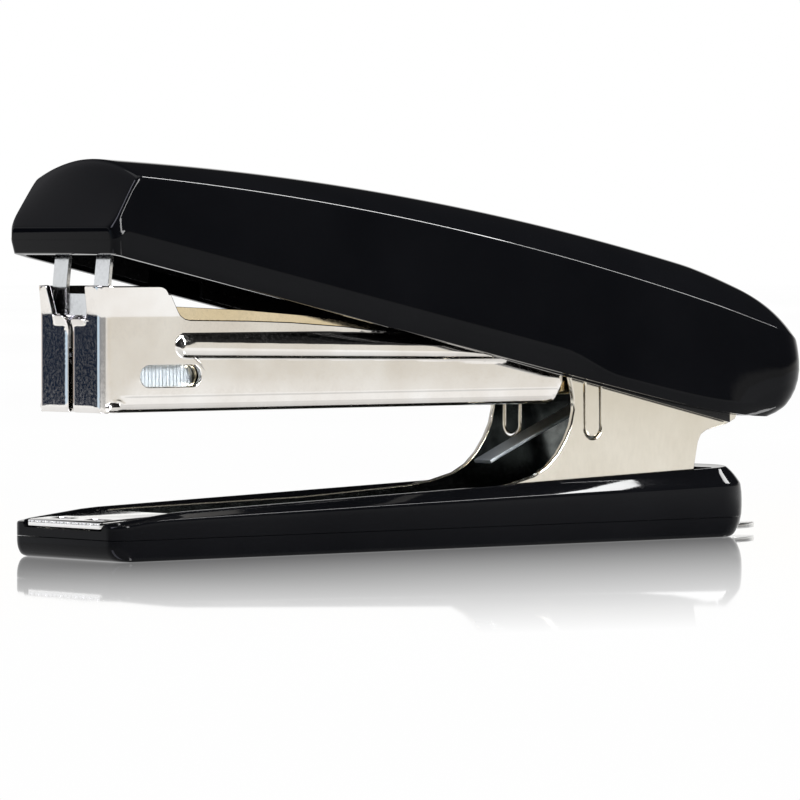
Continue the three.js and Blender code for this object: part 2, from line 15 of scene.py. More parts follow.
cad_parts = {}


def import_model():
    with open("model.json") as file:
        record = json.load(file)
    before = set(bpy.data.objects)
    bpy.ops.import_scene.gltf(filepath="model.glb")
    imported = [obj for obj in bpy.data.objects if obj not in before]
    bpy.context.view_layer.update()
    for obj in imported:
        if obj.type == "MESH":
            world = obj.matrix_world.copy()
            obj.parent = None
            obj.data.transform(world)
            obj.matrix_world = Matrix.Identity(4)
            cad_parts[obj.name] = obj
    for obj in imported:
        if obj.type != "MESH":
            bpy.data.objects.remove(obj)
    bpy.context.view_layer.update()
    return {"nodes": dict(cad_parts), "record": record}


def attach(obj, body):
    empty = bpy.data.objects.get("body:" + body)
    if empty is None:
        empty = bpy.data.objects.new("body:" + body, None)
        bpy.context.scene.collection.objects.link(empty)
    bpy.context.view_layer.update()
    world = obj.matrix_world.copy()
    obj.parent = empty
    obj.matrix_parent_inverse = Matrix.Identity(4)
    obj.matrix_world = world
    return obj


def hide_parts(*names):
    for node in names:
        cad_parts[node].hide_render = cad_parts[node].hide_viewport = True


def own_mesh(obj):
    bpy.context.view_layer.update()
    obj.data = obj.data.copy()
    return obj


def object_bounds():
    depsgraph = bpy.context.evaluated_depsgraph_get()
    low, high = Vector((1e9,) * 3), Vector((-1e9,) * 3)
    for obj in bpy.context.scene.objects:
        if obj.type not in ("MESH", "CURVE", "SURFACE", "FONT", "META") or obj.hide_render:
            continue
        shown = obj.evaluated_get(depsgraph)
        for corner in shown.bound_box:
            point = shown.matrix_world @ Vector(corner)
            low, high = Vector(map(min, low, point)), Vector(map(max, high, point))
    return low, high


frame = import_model()

MM = 0.001
MICRON = MM / 1000
WELD, TOUCH = 0.00001, 1e-7
LOW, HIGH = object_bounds()
LENGTH = (HIGH[0] - LOW[0]) / MM
PIVOT_JOINT = next(j for j in frame["record"]["behaviour"]["joints"] if j["name"] == "magazine_pivot")
PIVOT_X = PIVOT_JOINT["pos_m"][0] / MM + LENGTH / 2
PIVOT_Z = PIVOT_JOINT["pos_m"][2] / MM


# ---------------------------------------------------------------- materials
class Nodes:
    """A small helper that adds and links shader nodes."""

    def __init__(self, name):
        self.material = bpy.data.materials.new(name)
        self.material.use_nodes = True
        self.tree = self.material.node_tree
        self.shader = self.tree.nodes["Principled BSDF"]
        self.where = self.add("ShaderNodeTexCoord").outputs["Object"]

    def add(self, kind, **settings):
        node = self.tree.nodes.new(kind)
        for key, value in settings.items():
            setattr(node, key, value)
        return node

    def link(self, a, b):
        self.tree.links.new(a, b)

    def stretched(self, x, y, z):
        mapping = self.add("ShaderNodeMapping")
        mapping.inputs["Scale"].default_value = (x, y, z)
        self.link(self.where, mapping.inputs["Vector"])
        return mapping.outputs["Vector"]

    def noise(self, scale, detail=4, roughness=0.55, vector=None):
        node = self.add("ShaderNodeTexNoise")
        node.inputs["Scale"].default_value = scale
        node.inputs["Detail"].default_value = detail
        node.inputs["Roughness"].default_value = roughness
        self.link(vector or self.where, node.inputs["Vector"])
        return node.outputs["Fac"]

    def between(self, fac, low, high, from_low=0.3, from_high=0.7):
        node = self.add("ShaderNodeMapRange")
        node.inputs["From Min"].default_value = from_low
        node.inputs["From Max"].default_value = from_high
        node.inputs["To Min"].default_value = low
        node.inputs["To Max"].default_value = high
        self.link(fac, node.inputs["Value"])
        return node.outputs["Result"]

    def colours(self, fac, dark, light, from_low=0.3, from_high=0.7):
        node = self.add("ShaderNodeValToRGB")
        node.color_ramp.elements[0].position = from_low
        node.color_ramp.elements[0].color = (*dark, 1)
        node.color_ramp.elements[1].position = from_high
        node.color_ramp.elements[1].color = (*light, 1)
        self.link(fac, node.inputs["Fac"])
        return node.outputs["Color"]

    def bump(self, height, distance, strength=1.0, below=None):
        node = self.add("ShaderNodeBump")
        node.inputs["Strength"].default_value = strength
        node.inputs["Distance"].default_value = distance
        self.link(height, node.inputs["Height"])
        if below is not None:
            self.link(below, node.inputs["Normal"])
        return node.outputs["Normal"]

    def paint(self, color=None, roughness=None, normal=None, **constants):
        for key, value in constants.items():
            self.shader.inputs[key.replace("_", " ")].default_value = value
        for key, socket in (("Base Color", color), ("Roughness", roughness), ("Normal", normal)):
            if socket is not None:
                self.link(socket, self.shader.inputs[key])
        return self.material


def gloss_plastic():
    n = Nodes("gloss_black_plastic")
    cloud = n.noise(60, 3)
    fine = n.noise(2500, 2)
    color = n.colours(cloud, (0.0014, 0.0015, 0.0019), (0.0021, 0.0022, 0.0027))
    rough = n.between(n.noise(900, 3), 0.025, 0.05)
    normal = n.bump(fine, 2 * MICRON, 0.35, n.bump(n.noise(45, 2), 20 * MICRON, 0.2))
    return n.paint(color, rough, normal, IOR=1.46, Specular_IOR_Level=0.1)


def matt_plastic(name, level):
    n = Nodes(name)
    grain = n.noise(3500, 3)
    color = n.colours(n.noise(300, 4), (level * 0.8,) * 3, (level * 1.2,) * 3)
    return n.paint(color, n.between(grain, 0.38, 0.55), n.bump(grain, 10 * MICRON, 0.5))


def black_steel():
    n = Nodes("black_painted_steel")
    grain = n.noise(2200, 4)
    color = n.colours(n.noise(200, 4), (0.004, 0.004, 0.0045), (0.008, 0.008, 0.0085))
    rough = n.between(grain, 0.16, 0.28)
    return n.paint(color, rough, n.bump(grain, 6 * MICRON, 0.4), IOR=1.5, Specular_IOR_Level=0.25)


def plated(name, dark, light, rough_low, rough_high, wave, speckle, drawn=(1, 1, 1), mottle=70):
    """Bright plating on pressed sheet. The heights of its rolling waves and its speckle are in microns."""
    n = Nodes(name)
    grain = n.noise(2600, 3, vector=n.stretched(*drawn))
    waves = n.noise(170, 2, 0.4, vector=n.stretched(1, 1, 0.12))
    color = n.colours(n.noise(mottle, 3), dark, light)
    rough = n.between(grain, rough_low, rough_high)
    normal = n.bump(grain, speckle * MICRON, 0.5, n.bump(waves, wave * MICRON, 0.6))
    return n.paint(color, rough, normal, Metallic=1.0)


MATERIALS = {
    "gloss": gloss_plastic(),
    "matt": matt_plastic("matt_black_plastic", 0.012),
    "pusher": matt_plastic("pusher_plastic", 0.02),
    "arm": black_steel(),
    "chrome": plated("magazine_chrome", (0.80, 0.755, 0.70), (0.92, 0.90, 0.87), 0.04, 0.12, 12, 0.3,
                     mottle=110),
    # The shell's inner faces: the same plating with a dark base colour, painted shade inside the channel.
    "inside": plated("magazine_inside_painted_shade", (0.10, 0.10, 0.105), (0.17, 0.165, 0.155), 0.12, 0.24, 10, 1),
    "liner": plated("liner_plating", (0.80, 0.66, 0.43), (0.90, 0.78, 0.56), 0.05, 0.14, 10, 1),
    "frame": plated("frame_plating", (0.75, 0.70, 0.60), (0.80, 0.755, 0.66), 0.1, 0.13, 2, 0.2,
                    (1, 1, 0.35), 160),
    # The inner faces of the frame and ears: dark mottled plating, a painted dark reflection of the black parts
    # round them.
    "frame_inside_painted_reflection": plated("frame_inside_painted_reflection", (0.055, 0.06, 0.06), (0.2, 0.215, 0.21), 0.1, 0.2, 12, 1,
                           mottle=420),
    "steel": plated("ground_steel", (0.70, 0.70, 0.69), (0.84, 0.84, 0.83), 0.1, 0.22, 10, 1, (0.1, 1, 1)),
    "anvil": plated("anvil_chrome", (0.88, 0.86, 0.83), (0.96, 0.95, 0.94), 0.05, 0.1, 4, 1),
    "wire": plated("staple_wire", (0.56, 0.62, 0.67), (0.66, 0.72, 0.77), 0.3, 0.4, 4, 1),
    "spring": plated("spring_steel", (0.34, 0.34, 0.35), (0.5, 0.49, 0.47), 0.2, 0.34, 10, 2),
}


# ---------------------------------------------------------------- meshes
def to_metres(p):
    return Vector(((p[0] - LENGTH / 2) * MM, p[1] * MM, p[2] * MM))


def make_object(name, points, faces, material):
    mesh = bpy.data.meshes.new(name)
    mesh.from_pydata([to_metres(p) for p in points], [], faces)
    mesh.materials.append(MATERIALS[material])
    obj = bpy.data.objects.new(name, mesh)
    bpy.context.scene.collection.objects.link(obj)
    return obj


@contextmanager
def editing(obj):
    bm = bmesh.new()
    bm.from_mesh(obj.data)
    yield bm
    bm.to_mesh(obj.data)
    bm.free()


def tidy_mesh(obj, merge=WELD):
    with editing(obj) as bm:
        bmesh.ops.remove_doubles(bm, verts=bm.verts, dist=merge)
        bmesh.ops.recalc_face_normals(bm, faces=bm.faces)


def face_outward(obj, near, want):
    """Makes the faces agree, and turns them all over when the one nearest to a point looks the wrong way."""
    with editing(obj) as bm:
        bmesh.ops.recalc_face_normals(bm, faces=bm.faces)
    best = min(obj.data.polygons, key=lambda p: (p.center - to_metres(near)).length)
    if best.normal.dot(Vector(want)) < 0:
        obj.data.flip_normals()


def add_modifier(obj, kind, **settings):
    modifier = obj.modifiers.new(kind.lower(), kind)
    for key, value in settings.items():
        setattr(modifier, key, value)
    return modifier


def apply_modifiers(obj):
    graph = bpy.context.evaluated_depsgraph_get()
    mesh = bpy.data.meshes.new_from_object(obj.evaluated_get(graph))
    old = obj.data
    obj.modifiers.clear()
    obj.data = mesh
    bpy.data.meshes.remove(old)


def smooth(obj, angle=32):
    obj.data.polygons.foreach_set("use_smooth", [True] * len(obj.data.polygons))
    obj.data.set_sharp_from_angle(angle=math.radians(angle))


def soften_edges(obj, width_mm, segments=2, angle=40, thickness_mm=0.0, inside=None):
    """Gives a sheet its thickness and rounds its edges, with the flats shaded flat."""
    materials = obj.data.materials
    if thickness_mm:
        solid = add_modifier(obj, "SOLIDIFY", thickness=thickness_mm * MM, offset=-1, use_even_offset=True)
        # inside is the material for the inner faces; the callers pass dark plating, painted shade and dark
        # reflection.
        if inside:
            materials.append(MATERIALS[inside])
            solid.material_offset = 1
        apply_modifiers(obj)
        materials = obj.data.materials
    square = BVHTree.FromPolygons([v.co for v in obj.data.vertices], [p.vertices for p in obj.data.polygons])
    edge_slot = len(materials)
    materials.append(materials[0])
    add_modifier(obj, "BEVEL", width=width_mm * MM, segments=segments, limit_method="ANGLE",
                 angle_limit=math.radians(angle), material=edge_slot, use_clamp_overlap=not thickness_mm)
    apply_modifiers(obj)
    mesh = obj.data
    mesh.polygons.foreach_set("use_smooth", [True] * len(mesh.polygons))
    for v in mesh.vertices:
        nearest, _, _, distance = square.find_nearest(v.co)
        if distance > 0.5 * width_mm * MM:
            v.co = nearest
    plain, edge = [Vector() for _ in mesh.vertices], [Vector() for _ in mesh.vertices]
    for polygon in mesh.polygons:
        rounded = polygon.material_index == edge_slot
        for v in polygon.vertices:
            (edge if rounded else plain)[v] += polygon.normal * (polygon.area / MM ** 2)
        if rounded:
            polygon.material_index = 0
    mesh.materials.pop(index=edge_slot)
    normals = [(a if a.length > 1e-5 else b).normalized() for a, b in zip(plain, edge)]
    mesh.normals_split_custom_set_from_vertices(normals)


def finish_piece(obj, body, slot, *nodes):
    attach(obj, body)
    if nodes:
        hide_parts(*nodes)
    return obj


def arc(cx, cy, r, start, end, steps):
    out = []
    for i in range(steps + 1):
        a = math.radians(start + (end - start) * i / steps)
        out.append((cx + r * math.cos(a), cy + r * math.sin(a)))
    return out


def slot_hole(low, high, z, r, steps):
    """A level slot with round ends."""
    return [*arc(high - r, z, r, -90, 90, steps), *arc(low + r, z, r, 90, 270, steps)]


def inside(p, loop):
    x, y = p
    hit = False
    for (x0, y0), (x1, y1) in zip(loop, loop[1:] + loop[:1]):
        if (y0 > y) != (y1 > y) and x < (x1 - x0) * (y - y0) / (y1 - y0) + x0:
            hit = not hit
    return hit


def dense(loop, step):
    """The same outline with no side longer than step."""
    out = []
    for (x0, y0), (x1, y1) in zip(loop, loop[1:] + loop[:1]):
        parts = max(1, math.ceil(math.hypot(x1 - x0, y1 - y0) / step))
        out += [(x0 + (x1 - x0) * i / parts, y0 + (y1 - y0) * i / parts) for i in range(parts)]
    return out


def near_edge(p, loops, gap):
    for loop in loops:
        for (x0, y0), (x1, y1) in zip(loop, loop[1:] + loop[:1]):
            dx, dy = x1 - x0, y1 - y0
            t = max(0, min(1, ((p[0] - x0) * dx + (p[1] - y0) * dy) / (dx * dx + dy * dy + 1e-12)))
            if math.hypot(p[0] - x0 - t * dx, p[1] - y0 - t * dy) < gap:
                return True
    return False


def on_sheet(p, outline, holes):
    return inside(p, outline) and not any(inside(p, h) for h in holes)


def sheet(name, outline, holes, columns, rows, place, material, step=2.0, gap=0.2):
    """A bent sheet: a flat outline with holes, triangulated on a lattice and put in place by place(s, t)."""
    loops = [dense(outline, step)] + [dense(h, 0.5) for h in holes]
    points, edges = [], []
    for loop in loops:
        base = len(points)
        points += loop
        edges += [(base + i, base + (i + 1) % len(loop)) for i in range(len(loop))]
    coarse = [outline] + list(holes)
    for s in columns:
        for t in rows:
            spot = (s, t)
            if on_sheet(spot, outline, holes) and not near_edge(spot, coarse, gap):
                points.append(spot)
    verts, _, faces, *_ = delaunay_2d_cdt([Vector(p) for p in points], edges, [], 0, 1e-6)
    kept = []
    for face in faces:
        middle = (sum(verts[i].x for i in face) / 3, sum(verts[i].y for i in face) / 3)
        if on_sheet(middle, loops[0], loops[1:]):
            kept.append(list(face))
    return make_object(name, [place(v.x, v.y) for v in verts], kept, material)


def weld_middle(obj, dist):
    with editing(obj) as bm:
        bmesh.ops.remove_doubles(bm, verts=[v for v in bm.verts if abs(v.co.y) < 2 * WELD], dist=dist)


def mirrored(obj):
    """Adds the other side, welded along the middle."""
    with editing(obj) as bm:
        copy = bmesh.ops.duplicate(bm, geom=bm.verts[:] + bm.edges[:] + bm.faces[:])["geom"]
        bmesh.ops.scale(bm, vec=(1, -1, 1), verts=[g for g in copy if isinstance(g, bmesh.types.BMVert)])
        bmesh.ops.reverse_faces(bm, faces=[g for g in copy if isinstance(g, bmesh.types.BMFace)])
    weld_middle(obj, 2 * WELD)


def loft(name, rings, material, strips=False):
    around = len(rings[0])
    points = [p for ring in rings for p in ring]
    faces = []
    for i in range(len(rings) - 1):
        for j in range(around):
            a, b = i * around + j, i * around + (j + 1) % around
            faces.append((a, b, b + around, a + around))
    if strips:
        for base, turn in ((0, 1), ((len(rings) - 1) * around, -1)):
            for j in range(around // 2 - 1):
                quad = (base + j, base + j + 1, base + around - 2 - j, base + around - 1 - j)
                faces.append(quad[::turn])
    else:
        faces.append(tuple(range(around)))
        last = (len(rings) - 1) * around
        faces.append(tuple(last + j for j in reversed(range(around))))
    return make_object(name, points, faces, material)


def prism(name, outline, place, low, high, material, bevel=0.05, holes=(), segments=2):
    """A plate with rounded edges: place(a, b, c) puts outline point (a, b) at depth c."""
    curve = bpy.data.curves.new(name, "CURVE")
    curve.dimensions = "2D"
    curve.fill_mode = "BOTH"
    curve.extrude = (high - low) / 2 - bevel
    curve.bevel_depth = bevel
    curve.bevel_resolution = segments
    curve.offset = -bevel
    for loop in [outline, *holes]:
        spline = curve.splines.new("POLY")
        spline.points.add(len(loop) - 1)
        for point, (a, b) in zip(spline.points, loop):
            point.co = (a, b, 0, 1)
        spline.use_cyclic_u = True
    shape = bpy.data.objects.new(name, curve)
    bpy.context.scene.collection.objects.link(shape)
    graph = bpy.context.evaluated_depsgraph_get()
    mesh = bpy.data.meshes.new_from_object(shape.evaluated_get(graph))
    middle = (low + high) / 2
    points = [place(v.co.x, v.co.y, v.co.z + middle) for v in mesh.vertices]
    faces = [tuple(p.vertices) for p in mesh.polygons]
    bpy.data.objects.remove(shape)
    bpy.data.curves.remove(curve)
    bpy.data.meshes.remove(mesh)
    obj = make_object(name, points, faces, material)
    tidy_mesh(obj, TOUCH)
    smooth(obj, 25)
    return obj


def side_view(a, b, c):
    return (a, c, b)


def plan_view(a, b, c):
    return (a, b, c)


def front_view(a, b, c):
    return (c, a, b)


def turned(name, profile, place, material, sides=40):
    """A round piece: profile is (radius, height) pairs from the bottom middle to the top middle."""
    rings = []
    for i in range(sides):
        a = 2 * math.pi * i / sides
        rings.append([place(r * math.cos(a), r * math.sin(a), h) for r, h in profile])
    count = len(profile)
    faces = []
    for i in range(sides):
        for j in range(count - 1):
            a, b = i * count + j, ((i + 1) % sides) * count + j
            faces.append((a, b, b + 1, a + 1))
    obj = make_object(name, [p for r in rings for p in r], faces, material)
    tidy_mesh(obj, TOUCH)
    smooth(obj, 30)
    return obj


# ---------------------------------------------------------------- handle cover
def quarter_round(distance, radius):
    t = max(0.0, min(1.0, distance / radius))
    return math.sqrt(max(0.0, 1 - (1 - t) ** 2))


COVER_HALF, COVER_WALL = 10, 1.0
NOSE_ROUND, TAIL_ROUND = 1.1, 6.5
FACE_LOW, SKIRT_REAR = 37, 14.2


def crown_z(x):
    return 44.78 - 0.0317 * x - 0.00106 * x * x


def crown_drop(x):
    return 1.7 + 0.036 * x


def skirt_z(x):
    line = 34.1 - 0.2125 * x
    blend = 0.9
    return SKIRT_REAR + blend * math.log(1 + math.exp((line - SKIRT_REAR) / blend)) if line < 20 else line


def cover_section(x, inset):
    """Half-section of the cover at x: points (y, z) from the skirt's bottom edge to the crown."""
    from_front, from_rear = x - inset, LENGTH - inset - x
    half = COVER_HALF - inset - NOSE_ROUND * (1 - quarter_round(from_front, NOSE_ROUND))
    half -= TAIL_ROUND * (1 - quarter_round(from_rear, TAIL_ROUND))
    crown = crown_z(x) - inset
    slant = 37.05 + 2.05 * max(0.0, from_front)
    top = -0.5 * math.log(math.exp(-(slant - crown) / 0.5) + 1) + crown if slant - crown > -30 else slant
    front = max(0.02, (top - FACE_LOW) / (crown - FACE_LOW))
    bottom = skirt_z(x)
    drop = min(crown_drop(x) * front, (top - bottom) * 0.6)
    edge_z = top - drop
    tall = top - bottom
    edge_half = half - 0.5 * min(1, tall / 10)
    fade = 1 - max(0, min(1, (x - 66) / 9))
    band = 1.3 + 1.5 * fade * fade * (3 - 2 * fade)
    band_z = min(bottom + band, bottom + (edge_z - bottom) * 0.45)
    fillet = min(0.75, (edge_z - band_z) * 0.4, edge_half * 0.4)
    slope = math.atan2(drop * 2 * 0.9, edge_half)
    up = band_z - bottom
    points = [(half - 0.32, bottom), (half - 0.2, bottom + up * 0.35), (half - 0.08, bottom + up * 0.7),
              (half - 0.015, band_z - 0.18), (half, band_z), (half - 0.012, band_z + 0.18)]
    rise = edge_z - fillet - band_z
    shares = (0.12, 0.25, 0.4, 0.55, 0.7, 0.82, 0.92, 1.0)
    points += [(half + (edge_half - half) * t - 0.01, band_z + rise * t) for t in shares]
    cx, cz = edge_half - fillet - 0.01, edge_z - fillet
    points += [(cx + fillet * math.cos(a), cz + fillet * math.sin(a))
               for a in [(math.pi / 2 - slope) * k / 7 for k in range(1, 8)]]
    last_y, last_z = points[-1]
    for k in range(1, 14):
        y = last_y * (1 - k / 13)
        t = y / last_y if last_y > 1e-6 else 0
        points.append((y, top - (top - last_z) * t * t))
    return points


REAR_MID_Z = 20.6


def tucked(x, y, z):
    """The band round the nose leans in towards its bottom edge, and the rear end closes in like an egg."""
    fall = max(0.0, (36.9 - z) / 2.9)
    x += 0.34 * fall ** 1.3 * max(0.0, 1 - x / 2.6)
    if x > 92:
        reach = crown_z(x) - REAR_MID_Z if z > REAR_MID_Z else REAR_MID_Z - SKIRT_REAR
        t = min(1.0, abs(z - REAR_MID_Z) / reach)
        pull = 1 - math.sqrt(max(0.0, 1 - t * t * 0.97))
        along = min(1.0, (x - 92) / 16)
        y *= 1 - 0.3 * pull * along
        x -= 6.3 * pull * along ** 1.5
    return (x, y, z)


def cover_ring(x, inset):
    half = cover_section(x, inset)
    return [tucked(x, y, z) for y, z in half] + [tucked(x, -y, z) for y, z in reversed(half[:-1])]


def cover_stations(inset):
    nose = [inset + NOSE_ROUND * (1 - math.cos(math.radians(90 * i / 10))) for i in range(11)]
    nose += [inset + NOSE_ROUND + 4.9 * i / 16 for i in range(1, 17)]
    body = [inset + 6 + (LENGTH - 2 * inset - 13) * i / 64 for i in range(1, 64)]
    tail = [LENGTH - inset - 7 * (1 - math.sin(math.radians(90 * i / 22))) for i in range(23)]
    return nose + body + tail


def handle_cover():
    """One skin: the outside from rim to rim, round the bottom edge, and the inside."""
    outer_x, inner_x = cover_stations(0), cover_stations(COVER_WALL)
    outer = [cover_ring(x, 0) for x in outer_x]
    inner = [cover_ring(x, COVER_WALL) for x in inner_x]
    across = len(outer[0])
    points = [p for ring in outer for p in ring] + [p for ring in inner for p in ring]
    start = len(outer) * across
    faces = []
    for rings, base, turn in ((outer, 0, False), (inner, start, True)):
        for i in range(len(rings) - 1):
            for j in range(across - 1):
                a = base + i * across + j
                quad = (a, a + 1, a + 1 + across, a + across)
                faces.append(quad[::-1] if turn else quad)
        for i in (0, len(rings) - 1):
            row = [base + i * across + j for j in range(across)]
            half = across // 2
            for j in range(half):
                corners = (row[j], row[j + 1], row[across - 2 - j], row[across - 1 - j])
                quad = tuple(dict.fromkeys(corners))
                faces.append(quad if (i == 0) == turn else quad[::-1])
    near_rim = [i * across for i in range(len(outer))]
    rim_out = near_rim + [i + across - 1 for i in reversed(near_rim)]
    rim_in = [start + i for i in rim_out]
    for k in range(len(rim_out)):
        a, b = rim_out[k], rim_out[(k + 1) % len(rim_out)]
        c, d = rim_in[(k + 1) % len(rim_in)], rim_in[k]
        faces.append((a, d, c, b))
    obj = make_object("cover", points, faces, "gloss")
    tidy_mesh(obj, TOUCH)
    add_modifier(obj, "BEVEL", width=0.16 * MM, segments=3, limit_method="ANGLE",
                 angle_limit=math.radians(50))
    apply_modifiers(obj)
    smooth(obj, 28)
    return finish_piece(obj, "handle", "black_gloss", "handle_cover")


# ---------------------------------------------------------------- base
def rim_z(x):
    return 4.15 + 0.115 * x if x < 10 else 5.3 + 0.0363 * (x - 10)


def shoulder_z(x):
    return 4.15 + 0.07 * x if x < 5 else 4.5 + 0.0205 * (x - 5)


BASE_FRONT, BASE_REAR, BASE_HALF = 0.3, 98.5, 9.9
FRONT_ROUND, REAR_ROUND = 2, 7


def base_half(x, inset):
    front = FRONT_ROUND * (1 - quarter_round(x - BASE_FRONT - inset, FRONT_ROUND))
    rear = REAR_ROUND * (1 - quarter_round(BASE_REAR - inset - x, REAR_ROUND))
    return BASE_HALF - inset - front - rear


def base_stations(inset, body=40):
    first, last = BASE_FRONT + inset, BASE_REAR - inset
    low, high = first + FRONT_ROUND, last - REAR_ROUND
    nose = [first + FRONT_ROUND * (1 - math.cos(math.radians(90 * i / 9))) for i in range(10)]
    middle = [low + (high - low) * i / body for i in range(1, body)]
    tail = [last - REAR_ROUND * (1 - math.sin(math.radians(90 * i / 18))) for i in range(19)]
    return nose + middle + tail


def end_tuck(x, z):
    """How far the ends of the base draw in, towards the desk and, at the rear, towards the rim."""
    low = max(0.0, 1 - z / 3.5)
    high = min(1.0, max(0.0, (z - 4.4) / 4.1))
    along = max(0.0, min(1.0, (x - 88) / 10.5))
    rear = 3.9 * (1 - math.sqrt(1 - low * low)) + 3.4 * (1 - math.sqrt(1 - high * high * 0.97))
    low_nose = max(0.0, 1 - z / 1.9)
    nose = 1.5 * (1 - math.sqrt(1 - low_nose * low_nose)) * max(0.0, 1 - (x - BASE_FRONT) / 3)
    return nose - rear * along * along


def base_outer_ring(x):
    half = base_half(x, 0)
    top = rim_z(x)
    shoulder = min(shoulder_z(x), top - 0.3)
    flat = min(8.3, half * 0.84)
    right = [(half, 2.43), (half, 2.75)] + [(half, 2.75 + (shoulder - 2.97) * k / 4) for k in range(1, 5)]
    run, rise = half - flat, top - shoulder
    turn = math.pi / 2 - math.atan2(rise, run)
    r = min(0.9, 0.22 / math.tan(turn / 2)) if turn > 0.01 else 0.22
    for k in range(1, 6):
        a = turn * k / 5
        right.append((half - r * (1 - math.cos(a)), shoulder - 0.22 + r * math.sin(a)))
    y0, z0 = right[-1]
    right += [(y0 + (flat + 0.12 - y0) * t, z0 + (top - 0.2 - z0) * t) for t in (0.25, 0.5, 0.75, 1)]
    rim = ((0.11, 0.14), (0.09, 0.07), (0.03, 0.02), (-0.06, 0))
    right += [(flat + out, top - down) for out, down in rim]
    left = [(-y, z) for y, z in reversed(right)]
    return [(x + end_tuck(x, z), y, z) for y, z in right + left]


def boolean_cut(obj, cutter, operation="DIFFERENCE"):
    add_modifier(obj, "BOOLEAN", object=cutter, operation=operation, solver="EXACT")
    apply_modifiers(obj)
    bpy.data.objects.remove(cutter)


def base_shell():
    obj = loft("base_tray", [base_outer_ring(x) for x in base_stations(0)], "gloss", strips=True)
    tidy_mesh(obj)
    side, end, r = 7.9, 92.3, 1.5
    plan = [(1.9, 0.5 - side), (2.4, -side), *arc(end - r, r - side, r, 270, 360, 8),
            *arc(end - r, side - r, r, 0, 90, 8), (2.4, side), (1.9, side - 0.5)]
    boolean_cut(obj, prism("cavity", plan, plan_view, 3.3, 20, "gloss", bevel=0.01))
    lip = [(-7.1, 3.4), (7.1, 3.4), (7.8, 4.6), (7.8, 8), (-7.8, 8), (-7.8, 4.6)]
    boolean_cut(obj, prism("lip", lip, front_view, -1, 3, "gloss", bevel=0.01))
    soften_edges(obj, 0.14, 3, 38)
    return finish_piece(obj, "base", "black_gloss", "base_shell")


def base_sole():
    rings = []
    heights = [0, 0.04, 0.12, 0.3, 0.5, 0.75, 1.05, 1.4, 1.8, 2.34, 2.38]
    for z in heights:
        low = max(0.0, 1 - z / 0.3)
        inset = 0.3 * (1 - math.sqrt(1 - low * low)) + (0.05 if z > 2.35 else 0)
        ring = []
        for x in base_stations(inset, 12):
            half = base_half(x, inset) if BASE_FRONT + inset + 0.01 < x else 7.9 - inset
            ring.append((x + end_tuck(x, z), half, z))
        rings.append(ring + [(x, -y, z) for x, y, z in reversed(ring)])
    obj = loft("base_sole_pad", rings, "gloss")
    tidy_mesh(obj)
    groove = [(76, -3.6), (110, -3.6), (110, 3.6), (76, 3.6)]
    boolean_cut(obj, prism("groove", groove, plan_view, -1, 1.5, "gloss", bevel=0.01))
    smooth(obj, 30)
    return finish_piece(obj, "base", "black_matte", "base_sole")


def anvil():
    top, slope = 4.3, 0.07
    def rising(a, b, c):
        return (a, b, c + slope * (a - 0.45))
    plan = [(0.45, -6.6), (1.0, -7.0), (11, -7.0), (11, 7.0), (1.0, 7.0), (0.45, 6.6)]
    obj = prism("clinching_plate", plan, rising, 3.55, top, "anvil", 0.12)
    for side in (-1, 1):
        pit = turned("pit", [(0, -0.72), (1, -0.72), (1, 0.72), (0, 0.72)],
                     lambda a, b, c, s=side: (2.9 + c, s * 3.1 + a * 1.9, top + 0.3 + b * 0.5), "anvil", 36)
        boolean_cut(obj, pit)
    smooth(obj, 25)
    finish_piece(obj, "base", "chrome", "anvil_plate")
    ticks = []
    for i in range(19):
        y = -6.2 + 12.4 * i / 18
        lean, half = (0.06 if i % 2 else -0.06), 0.08
        outline = [(y - half + lean, 4.0), (y + half + lean, 4.0),
                   (y + half - lean, 4.2), (y - half - lean, 4.2)]
        ticks.append(prism(f"tick_{i}", outline, front_view, 0.4, 0.6, "spring", 0.03, segments=1))
    knurl = joined(ticks, "plate_knurl")
    finish_piece(knurl, "base", "chrome")


def joined(objects, name):
    first = objects[0]
    bm = bmesh.new()
    for obj in objects:
        bm.from_mesh(obj.data)
    bm.to_mesh(first.data)
    bm.free()
    for obj in objects[1:]:
        bpy.data.objects.remove(obj)
    first.name = name
    return first


# ---------------------------------------------------------------- frame with its ears
FRAME_HALF, FRAME_LOW, FRAME_BEND = 7.55, 3.6, 0.9


def frame_place(x, t):
    """t is the height above the floor's underside, and below the bend it runs inwards along the floor."""
    r = FRAME_BEND
    if t >= r:
        return (x, FRAME_HALF, FRAME_LOW + t)
    bend = r * math.pi / 2
    run = r - t
    if run < bend:
        a = run / r
        return (x, FRAME_HALF - r * (1 - math.cos(a)), FRAME_LOW + r * (1 - math.sin(a)))
    return (x, max(0.0, FRAME_HALF - r - (run - bend)), FRAME_LOW)


